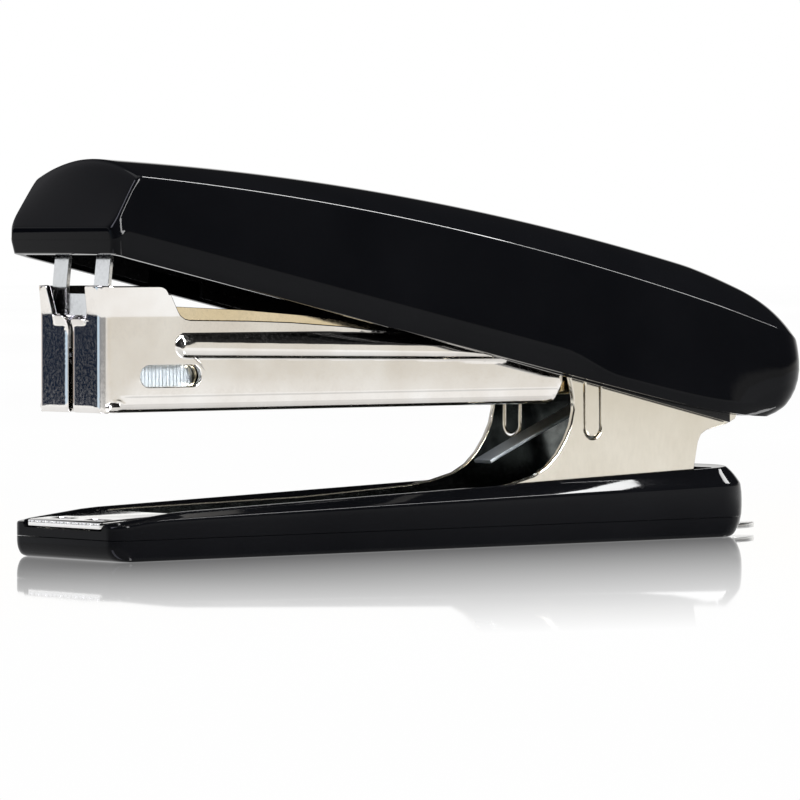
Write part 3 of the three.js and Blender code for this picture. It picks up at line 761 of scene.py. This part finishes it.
def base_frame():
    r = FRAME_BEND
    floor_t = r - (r * math.pi / 2 + FRAME_HALF - r)
    ear = [(11.4, floor_t), (11.4, r), (11.7, 1.3), (12.4, 1.5), (14, 1.6), (40, 2.2), (56, 3.1), (60, 3.6),
           (63.4, 4.4), (65.4, 5.4), (67, 6.8), (68.3, 8.5), (69.2, 10.2), (69.65, 12), (69.6, 13.6),
           (69.2, 15.2), (68.7, 16.8), (68.5, 18.4), (68.9, 19.3), (69.8, 19.85), (94.8, 21.0)]
    ear += [(x, z - FRAME_LOW) for x, z in arc(PIVOT_X, PIVOT_Z, 3.2, 80, 0, 10)]
    ear += [(98.4, 15.8), (97.6, 13.9), (96.6, 12.1), (95.65, 10.45), (94.2, 9.85), (92.5, 9.5), (91.0, 9.2),
            (90.1, 8.7), (89.6, 7.8), (89.3, 6.4), (89.0, 4.9), (88.8, 3.2), (88.7, r), (88.7, -0.4),
            (90.4, -0.6), (90.5, floor_t)]
    pin = arc(PIVOT_X, PIVOT_Z - FRAME_LOW, 1.8, 0, 350, 35)
    tab_x, tab_z, top, outer, inner = 72.6, 9.9, 15.2, 1.35, 1.12
    tab = [(tab_x - outer, top), *arc(tab_x, tab_z, outer, 180, 360, 14), (tab_x + outer, top),
           (tab_x + inner, top), *arc(tab_x, tab_z, inner, 360, 180, 14), (tab_x - inner, top)]
    columns = [12 + 1.0 * i for i in range(80)] + [66.2, 67.8, 69.4, 70.5]
    bend = [r - r * math.pi / 2 * k / 8 for k in range(9)]
    rows = [floor_t + 0.4, -5, -3.5, -2, *bend, 1.3, 1.8, 2.4, 3.2, *range(4, 21)]
    obj = sheet("channel_and_ears", ear, [pin, tab], columns, rows, frame_place, "frame", gap=0.5)
    mirrored(obj)
    face_outward(obj, (80, 0, 3.6), (0, 0, -1))
    # The inner faces get the dark mottled plating, a painted dark reflection.
    soften_edges(obj, 0.2, 4, 60, 0.7, "frame_inside_painted_reflection")
    return finish_piece(obj, "base", "plated_frame", "base_frame")


# ---------------------------------------------------------------- magazine
SHELL_FRONT, SHELL_HALF, SHELL_LOW, CORNER, FOLD = 1.3, 6.1, 16.35, 1.2, 0.9
CORNER_S, FOLD_T = 4.9, SHELL_LOW + FOLD
SIDE_S = CORNER_S + CORNER * math.pi / 2
WINDOW = (6.6, 15.1, 20.4, 1.2)


def ramp_from(t, start, soft):
    """Straight rise past start, with a soft beginning."""
    u = max(0.0, t - start)
    return u * u / (u + soft) if u > 0 else 0.0


def bead(x, z):
    """Height of the bead pressed along the side: flat on top, straight above and rounded below."""
    height, flat, soft, steep, shallow = 0.52, 0.33, 0.12, 0.44, 0.08
    along = min(x, 60.2) - 12
    rise, end = z - (23.93 - 0.023 * along), max(0.0, 13.0 - x, x - 60.2)
    far = math.hypot(rise, end)
    past = max(0.0, far - flat)
    upper = height * ramp_from(far, flat, soft) / (min(1.3, 0.84 + 0.023 * along) - soft)
    gentle = 1.27 - 0.0075 * along - steep
    lower = shallow * min(1.0, past / gentle) ** 2 + (height - shallow) * max(0.0, past - gentle) / steep
    weight = 0.5 + 0.5 * rise / (far + 1e-6)
    weight = weight * weight * (3 - 2 * weight)
    return max(0.0, height - weight * upper - (1 - weight) * lower)


def shell_place(side):
    """s runs from the front's middle along the side; t is the height, and turns in under it below FOLD_T."""
    def place(s, t):
        if s <= CORNER_S:
            x, y, nx, ny = SHELL_FRONT, s, -1.0, 0.0
        elif s < SIDE_S:
            a = (s - CORNER_S) / CORNER
            x, y = SHELL_FRONT + CORNER * (1 - math.cos(a)), CORNER_S + CORNER * math.sin(a)
            nx, ny = -math.cos(a), math.sin(a)
        else:
            x, y, nx, ny = SHELL_FRONT + CORNER + (s - SIDE_S), SHELL_HALF, 0.0, 1.0
        z = t
        out = 0.0
        if s >= SIDE_S and t < FOLD_T:
            turn = min((FOLD_T - t) / FOLD, math.pi / 2)
            out -= FOLD * (1 - math.cos(turn)) + (FOLD_T - t - FOLD * turn)
            z = FOLD_T - FOLD * math.sin(turn)
        if s >= SIDE_S:
            out += bead(x, t)
            behind_nose, wall_t = min(1.0, max(0.0, (x - 4.4) / 0.8)), max(t, FOLD_T)
            out -= 0.035 * max(0.0, min(1.0, (18.2 - t) / 0.15)) * behind_nose
            out -= (0.045 * ramp_from(-wall_t, -18.15, 0.05) + 0.006 * max(0.0, 20.2 - wall_t)) * behind_nose
            out += 0.25 * max(0.0, min(1.0, (x - 66.4) / 2.6)) ** 2
        lip_part = 1 - max(0.0, min(1.0, (s - 2.35) / 0.5))
        if s < CORNER_S:
            out += 0.62 * ramp_from(t, 26.05, 0.12) * lip_part
            edge = max(0.0, 1 - (s - 0.42) / 0.8)
            out -= 0.13 * edge * edge * (1 - max(0.0, min(1.0, (t - 25.6) / 0.5)))
            out -= 0.2 * max(0.0, 1 - (t - SHELL_LOW) / 0.7) ** 2
        out += 0.085 * ramp_from(t, 27.0, 0.5) * (1 - lip_part)
        y = max(0.0, y + ny * out)
        return (x + nx * out, side * y, z)
    return place


def magazine_shell():
    floor_t = FOLD_T - FOLD * math.pi / 2 - (SHELL_HALF - FOLD)
    rear = SIDE_S + 69 - SHELL_FRONT - CORNER
    def sx(x):
        return SIDE_S + x - SHELL_FRONT - CORNER
    halves = []
    for side in (-1, 1):
        wing_top, wing_low = (3.0, 3.15) if side < 0 else (3.95, 3.25)
        lip_z = 26.75 if side < 0 else 27.1
        outline = [
            (0.42, SHELL_LOW), (SIDE_S - 0.25, SHELL_LOW), (SIDE_S, 17.2), (sx(3.6), 17.4), (sx(3.6), floor_t),
            (sx(67.2), floor_t), (sx(67.6), 16.2), (sx(68.3), 17.5), (rear, 18.9), (rear, 23.9),
            (sx(39), 25.38), (sx(36), 25.72), (sx(28.2), 26.25), (sx(22), 26.47), (sx(13.6), 26.62),
            (sx(12.9), 26.75),
            (sx(12.3), 27.1), (sx(11.9), 27.6), (sx(10.75), 29.5), *arc(sx(9.1), 28.9, 1.5, 25, 90, 8),
            (SIDE_S + 0.4, 30.4), (CORNER_S, 30.5), (wing_top + 0.2, 30.45), (wing_top, 30.25),
            (wing_low, 27.9), (wing_low - 0.15, lip_z + 0.25), (wing_low - 0.3, lip_z), (0.8, lip_z),
            (0.5, lip_z - 0.15), (0.42, lip_z - 0.5)]
        window = slot_hole(sx(WINDOW[0]), sx(WINDOW[1]), WINDOW[2], WINDOW[3], 16)
        bend = [FOLD_T - FOLD * math.pi / 2 * k / 7 for k in range(8)]
        corner = [CORNER_S + (SIDE_S - CORNER_S) * k / 12 for k in range(13)]
        rows = [floor_t + 1.5, floor_t + 3.5, *bend, 17.35, 17.5, 17.8, 18.0, 18.05, 18.1, 18.15, 18.2, 18.35]
        rows += [18.8, 19.3, 19.9, 20.5, 21.1, 21.5, *[21.7 + 0.1 * k for k in range(34)]]
        rows += [25.1, 25.2, 25.3, 25.45, 25.6, 25.9, 26.0, 26.1, 26.2, 26.3, 26.45, 26.6, 26.75, 26.9, 27.1]
        rows += [27.4, 27.8, 28.3, 28.8, 29.3, 29.8, 30.15]
        columns = [0.5, 0.65, 0.85, 1.1, 1.4, 1.8, 2.2, 2.5, 2.8, 3.2, 3.7, 4.3, *corner]
        lengths = [3.0, 3.6, 4.2, 5, 5.8, 6.6, *[7.4 + 0.8 * k for k in range(5)]]
        lengths += [11.1 + 0.16 * k for k in range(10)]
        lengths += [13.4 + 0.8 * k for k in range(57)] + [59.6 + 0.3 * k for k in range(8)]
        lengths += [64, 66, 66.8, 67.5, 68.2, 68.7]
        columns += [sx(x) for x in lengths]
        half = sheet(f"shell_{side}", outline, [window], columns, rows, shell_place(side), "chrome", 0.6, 0.3)
        face_outward(half, (40, side * 6.1, 20.5), (0, side, 0))
        halves.append(half)
    obj = joined(halves, "magazine_channel")
    weld_middle(obj, 0.3 * MM)
    # The inner faces get the dark plating, painted shade inside the channel.
    soften_edges(obj, 0.12, 3, 60, 0.6, "inside")
    finish_piece(obj, "magazine", "chrome", "magazine_shell")
    end = [(0.02, 0.95), (0.3, 0.88), (0.5, 0.7), (0.56, 0.4)]
    profile = [(r, -h) for r, h in end] + end[::-1]
    for side in (-1, 1):
        lug = turned("corner_lug", profile, lambda a, b, c, s=side: (2.75 + c, s * (5.95 + b * 0.9), 17.0 + a),
                     "chrome", 28)
        lug.name = f"corner_lug_{'near' if side < 0 else 'far'}"
        finish_piece(lug, "magazine", "chrome")


LINER_HALF, LINER_LOW = 5.2, 17.4


def magazine_liner():
    low, r = LINER_LOW, 0.5
    bend = r * math.pi / 2

    def place(x, t):
        if t >= r:
            return (x, LINER_HALF, low + t)
        run = r - t
        if run < bend:
            a = run / r
            return (x, LINER_HALF - r * (1 - math.cos(a)), low + r * (1 - math.sin(a)))
        return (x, max(0.0, LINER_HALF - r - (run - bend)), low)
    floor_t = r - (bend + LINER_HALF - r)
    top = [(4.6, 27.0), (10.4, 27.2), (11.4, 27.6), (12.4, 28.1), (21.8, 27.68), (31.4, 26.95), (36, 26.4),
           (60, 25.7)]
    heel = [(98.4, 18.2), (96.9, 14.7), (96.9, 12.6), (96.8, 11.9), (96.2, 11.5), (91.9, 11.6), (91.2, 11.9),
            (88.3, 15.1)]
    outline = [(4.6, floor_t)]
    outline += [(x, z - low) for x, z in top + arc(PIVOT_X, PIVOT_Z, 3.7, 90, -20, 14) + heel]
    outline += [(82.4, 0.3), (82, 0), (80.3, -0.3), (80, floor_t)]
    pin = arc(PIVOT_X, PIVOT_Z - low, 1.8, 0, 350, 30)
    window = slot_hole(WINDOW[0], WINDOW[1], WINDOW[2] - low, WINDOW[3], 10)
    columns = [5.2 + 1.3 * k for k in range(71)]
    rows = [floor_t + 1, -2.6, *[r - bend * k / 5 for k in range(6)], 1.2, 2, 3, 4, 5, 6, 7, 8, 9, 9.6, 10.2]
    obj = sheet("inner_channel", outline, [pin, window], columns, rows, place, "liner", 2.0)
    mirrored(obj)
    face_outward(obj, (40, LINER_HALF, 24), (0, 1, 0))
    soften_edges(obj, 0.05, 2, 42, 0.42)
    return finish_piece(obj, "magazine", "liner_steel", "magazine_liner")


def swept(path, section, place):
    """Rings of a section carried along a bent path: section points are (across, off the path)."""
    rings = []
    for k, (a, b) in enumerate(path):
        a0, b0 = path[max(0, k - 1)]
        a1, b1 = path[min(len(path) - 1, k + 1)]
        size = math.hypot(a1 - a0, b1 - b0)
        na, nb = (b1 - b0) / size, -(a1 - a0) / size
        rings.append([place(a + na * d, b + nb * d, c) for c, d in section])
    return rings


def staple_strip():
    """Fifty wires side by side, each with rounded shoulders."""
    staples = []
    count, pitch, wire = 50, 0.5, 0.49
    r = 0.55
    half, top = 4.35, 22.75
    path = [(half, 18.0), *arc(half - r, top - r, r, 0, 90, 4)]
    path += [(-y, z) for y, z in reversed(path)]
    for i in range(count):
        x0 = 3.32 + pitch * i
        section = [(x0 + 0.04, -0.25), (x0 + wire - 0.04, -0.25), (x0 + wire, -0.21), (x0 + wire, 0.21),
                   (x0 + wire - 0.04, 0.25), (x0 + 0.04, 0.25), (x0, 0.21), (x0, -0.21)]
        staples.append(loft(f"staple_{i}", swept(path, section, front_view), "wire"))
    obj = joined(staples, "staple_stick")
    tidy_mesh(obj, TOUCH)
    smooth(obj, 40)
    return finish_piece(obj, "magazine", "staple_wire", "staple_strip")


def driver():
    """The blade's two legs, bent on an arc about the pivot."""
    outer_r, inner_r, top = 93.15, 92.7, 41.0
    def x_at(r, z):
        return PIVOT_X - math.sqrt(r * r - (z - PIVOT_Z) ** 2)
    def place(y, t):
        bend = 0.5
        if t <= top - bend:
            return (x_at(outer_r, t), y, t)
        run = t - (top - bend)
        x0 = x_at(outer_r, top - bend)
        if run < bend * math.pi / 2:
            a = run / bend
            return (x0 + bend * (1 - math.cos(a)), y, top - bend + bend * math.sin(a))
        return (x0 + bend + run - bend * math.pi / 2, y, top)
    end = 46.8
    outline = [(-5.15, 23.5), (5.15, 23.5), (5.15, end), (-5.15, end)]
    gap = [(-2.5, 29.6), (2.5, 29.6), (2.5, 38.8), (-2.5, 38.8)]
    holes = [arc(s * 3.4, 43.7, 1.2, 0, 345, 23) for s in (-1, 1)]
    rows = [24.5 + 1.5 * k for k in range(10)] + [39.5, 40.2, 40.6, 40.8, 41.0, 41.2, 41.4, 42.5, 45]
    obj = sheet("driver_plate", outline, [gap, *holes], [-5, -4, -3, 0, 3, 4, 5], rows, place, "steel", 1.0)
    face_outward(obj, (2.5, 0, 26), (-1, 0, 0))
    soften_edges(obj, 0.05, 2, 42, outer_r - inner_r)
    return finish_piece(obj, "handle", "bright_steel", "driver_blade")


def rivet_piece(name, node, body, place, profile):
    obj = turned(name, profile, place, "spring", 36)
    return finish_piece(obj, body, "spring_steel", node)


def rivets():
    low, high = 40.2, 42.0
    profile = [(0, low - 0.68), (0.9, low - 0.66), (1.5, low - 0.5), (1.9, low - 0.15), (1.98, low - 0.02),
               (1.0, low), (1.0, high), (0, high)]
    for word, side in (("near", -1), ("far", 1)):
        rivet_piece(f"blade_rivet_{word}", f"driver_rivet_{word}", "handle",
                    lambda a, b, c, s=side: (7.5 + a, s * 3.4 + b, c), profile)
    for word, x, top in (("front", 74, 4.6), ("rear", 88.5, 5.3)):
        profile = [(0, 2.62), (1.2, 2.62), (1.2, top), (2.15, top + 0.02), (2.1, top + 0.25), (1.7, top + 0.5),
                   (1.0, top + 0.66), (0, top + 0.7)]
        rivet_piece(f"floor_rivet_{word}", f"frame_rivet_{word}", "base",
                    lambda a, b, c, x=x: (x + a, b, c), profile)
    half = 8.3
    profile = [(0, -half), (1.3, -half), (1.5, 0.2 - half), (1.5, half - 0.2), (1.3, half), (0, half)]
    pin = turned("pin", profile, lambda a, b, c: (PIVOT_X + a, -c, PIVOT_Z + b), "spring", 48)
    finish_piece(pin, "base", "spring_steel", "pivot_pin")


def remover():
    edge = [(78, 2.7), (100.8, 2.7), (102.4, 2.3), (103.7, 1.65), (104.8, 0.95), (105.4, 0.5), (105.65, 0)]
    plan = [(x, -y) for x, y in edge[:-1]] + edge[::-1]
    obj = prism("remover_tongue", plan, plan_view, 0.5, 1.15, "steel", 0.1)
    return finish_piece(obj, "base", "bright_steel", "staple_remover")


def flowing(points, steps=8):
    """A smooth line through the given points."""
    out = []
    for k in range(len(points) - 1):
        around = [points[min(max(0, k + i), len(points) - 1)] for i in (-1, 0, 1, 2)]
        before, here, there, after = map(Vector, around)
        for i in range(steps):
            t = i / steps
            square = (2 * before - 5 * here + 4 * there - after) * t * t
            cube = (3 * here - before - 3 * there + after) * t ** 3
            out.append(tuple(0.5 * (2 * here + (there - before) * t + square + cube)))
    return out + [points[-1]]


def leaf(name, body, node, path, material="spring", half=2.6, thickness=0.4, edge=0.08):
    """A leaf spring: a strip with rounded edges bent along a smooth line of (x, z) points."""
    deep = thickness / 2
    section = [(half, deep - edge), (half - edge, deep), (edge - half, deep), (-half, deep - edge),
               (-half, edge - deep), (edge - half, -deep), (half - edge, -deep), (half, edge - deep)]
    obj = loft(name, swept(flowing(path), section, side_view), material)
    tidy_mesh(obj, TOUCH)
    smooth(obj, 40)
    return finish_piece(obj, body, "spring_steel", node)


def leaves():
    lift = leaf("lift_leaf", "base", "lift_spring",
                [(91, 4.7), (88.5, 4.7), (86, 4.9), (84, 7.2), (82.6, 11), (80.9, 15.4), (79.4, 16.6),
                 (77.6, 16.1), (75.4, 15.1), (69.4, 12.7), (63.1, 10.0), (62.0, 9.5)], "wire", 1.5)
    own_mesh(lift)
    leaf("return_leaf", "magazine", "return_spring",
         [(67, 24.9), (69.5, 24.9), (71.1, 25.3), (70.6, 26.5), (64, 28.2), (55, 30.6), (49.5, 31.9),
          (46.5, 32.3)])


def coil():
    turns, steps, sides = 15, 20, 8
    x0, x1, radius, wire, z0 = 34.2, 65.7, 1.25, 0.2, 19.9
    rings = []
    total = turns * steps
    for i in range(total + 1):
        a = 2 * math.pi * turns * i / total
        x = x0 + (x1 - x0) * i / total
        ring = []
        for k in range(sides):
            b = 2 * math.pi * k / sides
            r = radius + wire * math.cos(b)
            ring.append((x + wire * math.sin(b), r * math.cos(a), z0 + r * math.sin(a)))
        rings.append(ring)
    obj = loft("coil", rings, "spring")
    tidy_mesh(obj, TOUCH)
    smooth(obj, 50)
    finish_piece(obj, "magazine", "spring_steel", "pusher_spring")
    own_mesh(obj)


def plain_nodes():
    """CAD nodes whose shape is right get their material, slot by slot."""
    for node, material in (("handle_arm", "arm"), ("staple_rail", "steel"), ("guide_rod", "spring"),
                           ("rod_stop", "frame"), ("pusher", "pusher")):
        obj = frame["nodes"][node]
        for s in obj.material_slots:
            s.material = MATERIALS[material]


# ---------------------------------------------------------------- stage, light and camera
VIEW_TURN = math.radians(50)


def stage():
    """A white table top: a long strip behind and in front of the object that is a mirror only close to it."""
    along = Vector((math.cos(VIEW_TURN), math.sin(VIEW_TURN), 0))
    across = Vector((-along.y, along.x, 0))
    corners = [along * a + across * b for a, b in ((-0.62, -0.55), (4.5, -0.55), (4.5, 0.42), (-0.62, 0.42))]
    mesh = bpy.data.meshes.new("floor")
    mesh.from_pydata([tuple(c) for c in corners], [], [(0, 1, 2, 3)])
    floor = bpy.data.objects.new("floor", mesh)
    bpy.context.scene.collection.objects.link(floor)
    n = Nodes("pale_floor")
    half = Vector(((HIGH[0] - LOW[0]) / 2, (HIGH[1] - LOW[1]) / 2, 0))
    absolute = n.add("ShaderNodeVectorMath", operation="ABSOLUTE")
    beyond = n.add("ShaderNodeVectorMath", operation="SUBTRACT")
    beyond.inputs[1].default_value = half
    outside = n.add("ShaderNodeVectorMath", operation="MAXIMUM")
    distance = n.add("ShaderNodeVectorMath", operation="LENGTH")
    n.link(n.where, absolute.inputs[0])
    n.link(absolute.outputs["Vector"], beyond.inputs[0])
    n.link(beyond.outputs["Vector"], outside.inputs[0])
    n.link(outside.outputs["Vector"], distance.inputs[0])
    grazing = n.add("ShaderNodeLayerWeight")
    grazing.inputs["Blend"].default_value = 0.5
    shine = n.add("ShaderNodeMath", operation="MULTIPLY")
    n.link(n.between(distance.outputs["Value"], 0.9, 0.0, 0.0, 0.125), shine.inputs[0])
    n.link(n.between(grazing.outputs["Facing"], 0.35, 1.0, 0.75, 0.96), shine.inputs[1])
    glossy = n.add("ShaderNodeBsdfGlossy")
    glossy.inputs["Color"].default_value = (1, 1, 1, 1)
    n.link(n.between(n.noise(40, 2), 0.02, 0.035), glossy.inputs["Roughness"])
    white = n.add("ShaderNodeEmission")
    n.link(n.colours(n.noise(3, 2), (0.985, 0.985, 0.985), (1, 1, 1)), white.inputs["Color"])
    mix = n.add("ShaderNodeMixShader")
    n.link(shine.outputs["Value"], mix.inputs["Fac"])
    n.link(white.outputs["Emission"], mix.inputs[1])
    n.link(glossy.outputs["BSDF"], mix.inputs[2])
    n.link(mix.outputs["Shader"], n.tree.nodes["Material Output"].inputs["Surface"])
    mesh.materials.append(n.material)


def area_light(name, turn, height, size, strength, color=(1, 1, 1), distance=0.8):
    """A soft box seen from the object at a compass turn and a height above the horizon, both in degrees."""
    turn, height = math.radians(turn), math.radians(height)
    flat = math.cos(height)
    where = Vector((math.cos(turn) * flat, math.sin(turn) * flat, math.sin(height))) * distance
    data = bpy.data.lights.new(name, "AREA")
    data.shape = "RECTANGLE"
    data.size, data.size_y = size
    data.energy = strength * size[0] * size[1] * math.pi
    data.color = color
    lamp = bpy.data.objects.new(name, data)
    lamp.location = where
    lamp.rotation_euler = (-where).to_track_quat("-Z", "Y").to_euler()
    bpy.context.scene.collection.objects.link(lamp)


# Colours of the studio wall by compass turn in degrees, in three bands of height.
HORIZON = [
    (-180, (0.30, 0.31, 0.33)), (-122, (0.36, 0.36, 0.36)), (-112, (0.85, 0.84, 0.82)),
    (-84, (0.76, 0.71, 0.62)), (-50, (0.79, 0.765, 0.71)), (-15, (0.78, 0.75, 0.69)), (15, (1, 0.99, 0.97)),
    (84, (1, 1, 1)), (90, (0.5, 0.42, 0.36)), (105, (0.42, 0.36, 0.33)), (110, (0.22, 0.26, 0.33)),
    (117, (0.012, 0.018, 0.035)), (143, (0.012, 0.018, 0.035)), (149, (0.62, 0.78, 0.95)),
    (171, (0.62, 0.78, 0.95)), (178, (0.30, 0.31, 0.33))]
LOW_SKY = [
    (-180, (0.02, 0.02, 0.022)), (-95, (0.02, 0.02, 0.02)), (-20, (0.02, 0.02, 0.02)), (5, (0.2, 0.2, 0.2)),
    (25, (1, 0.99, 0.97)), (95, (1, 1, 1)), (100, (0.9, 0.92, 0.95)), (148, (0.85, 0.88, 0.92)),
    (160, (0.1, 0.1, 0.11))]
HIGH_SKY = [
    (-180, (0.015, 0.015, 0.016)), (60, (0.015, 0.015, 0.015)), (80, (0.25, 0.25, 0.26)),
    (95, (0.5, 0.5, 0.52)), (142, (0.5, 0.5, 0.53)), (158, (0.02, 0.02, 0.022))]


def world():
    """A pale studio: bright behind the object and dark round the camera, in three bands of height."""
    scene_world = bpy.data.worlds.new("studio")
    bpy.context.scene.world = scene_world
    scene_world.use_nodes = True
    tree = scene_world.node_tree
    tree.nodes.clear()
    add, link = tree.nodes.new, tree.links.new
    where, axes = add("ShaderNodeTexCoord"), add("ShaderNodeSeparateXYZ")
    link(where.outputs["Generated"], axes.inputs[0])
    turn = add("ShaderNodeMath")
    turn.operation = "ARCTAN2"
    link(axes.outputs["Y"], turn.inputs[0])
    link(axes.outputs["X"], turn.inputs[1])
    span = add("ShaderNodeMapRange")
    span.inputs["From Min"].default_value, span.inputs["From Max"].default_value = -math.pi, math.pi
    link(turn.outputs["Value"], span.inputs["Value"])

    def band(stops):
        ramp = add("ShaderNodeValToRGB")
        elements = ramp.color_ramp.elements
        elements[0].position, elements[0].color = (stops[0][0] + 180) / 360, (*stops[0][1], 1)
        elements[1].position, elements[1].color = (stops[-1][0] + 180) / 360, (*stops[-1][1], 1)
        for degrees, color in stops[1:-1]:
            elements.new((degrees + 180) / 360).color = (*color, 1)
        link(span.outputs["Result"], ramp.inputs["Fac"])
        return ramp.outputs["Color"]

    def above(low, high, under, over):
        fade = add("ShaderNodeMapRange")
        fade.inputs["From Min"].default_value, fade.inputs["From Max"].default_value = low, high
        link(axes.outputs["Z"], fade.inputs["Value"])
        mix = add("ShaderNodeMix")
        mix.data_type = "RGBA"
        link(fade.outputs["Result"], mix.inputs["Factor"])
        link(under, mix.inputs[6])
        link(over, mix.inputs[7])
        return mix.outputs[2]

    color = above(0.005, 0.03, band(HORIZON), band(LOW_SKY))
    color = above(0.13, 0.22, color, band(HIGH_SKY))
    out, mix = add("ShaderNodeOutputWorld"), add("ShaderNodeMixShader")
    white, around, path = add("ShaderNodeBackground"), add("ShaderNodeBackground"), add("ShaderNodeLightPath")
    link(color, around.inputs["Color"])
    link(path.outputs["Is Camera Ray"], mix.inputs["Fac"])
    link(around.outputs["Background"], mix.inputs[1])
    white.inputs["Color"].default_value = (1, 1, 1, 1)
    link(white.outputs["Background"], mix.inputs[2])
    link(mix.outputs["Shader"], out.inputs["Surface"])


def camera():
    data = bpy.data.cameras.new("camera")
    data.lens, data.sensor_width = 270, 36
    data.clip_start, data.clip_end = 0.01, 20
    cam = bpy.data.objects.new("camera", data)
    bpy.context.scene.collection.objects.link(cam)
    tilt = math.atan(155 / 6000)
    turn = math.radians(40)
    look = Vector((math.sin(turn) * math.cos(tilt), math.cos(turn) * math.cos(tilt), -math.sin(tilt)))
    cam.location = (-0.45338, -0.53469, 0.03499)
    cam.rotation_euler = look.to_track_quat("-Z", "Y").to_euler()
    bpy.context.scene.camera = cam


def lights():
    area_light("edge_softbox", -3, 50, (0.12, 0.26), 45)
    area_light("rear_edge_softbox", -7, 36.5, (0.09, 0.15), 28)
    area_light("corner_softbox", -78, 34, (0.2, 0.62), 42)
    area_light("nose_softbox", 176, 44, (0.2, 0.7), 14, (0.84, 0.84, 1))
    area_light("top_softbox", 60, 80, (0.5, 0.5), 1.2)


camera()
world()
stage()
lights()
handle_cover()
base_shell()
base_sole()
anvil()
base_frame()
magazine_shell()
magazine_liner()
staple_strip()
driver()
rivets()
remover()
coil()
leaves()
plain_nodes()
bpy.context.scene.view_settings.view_transform = "Standard"

bpy.context.view_layer.update()
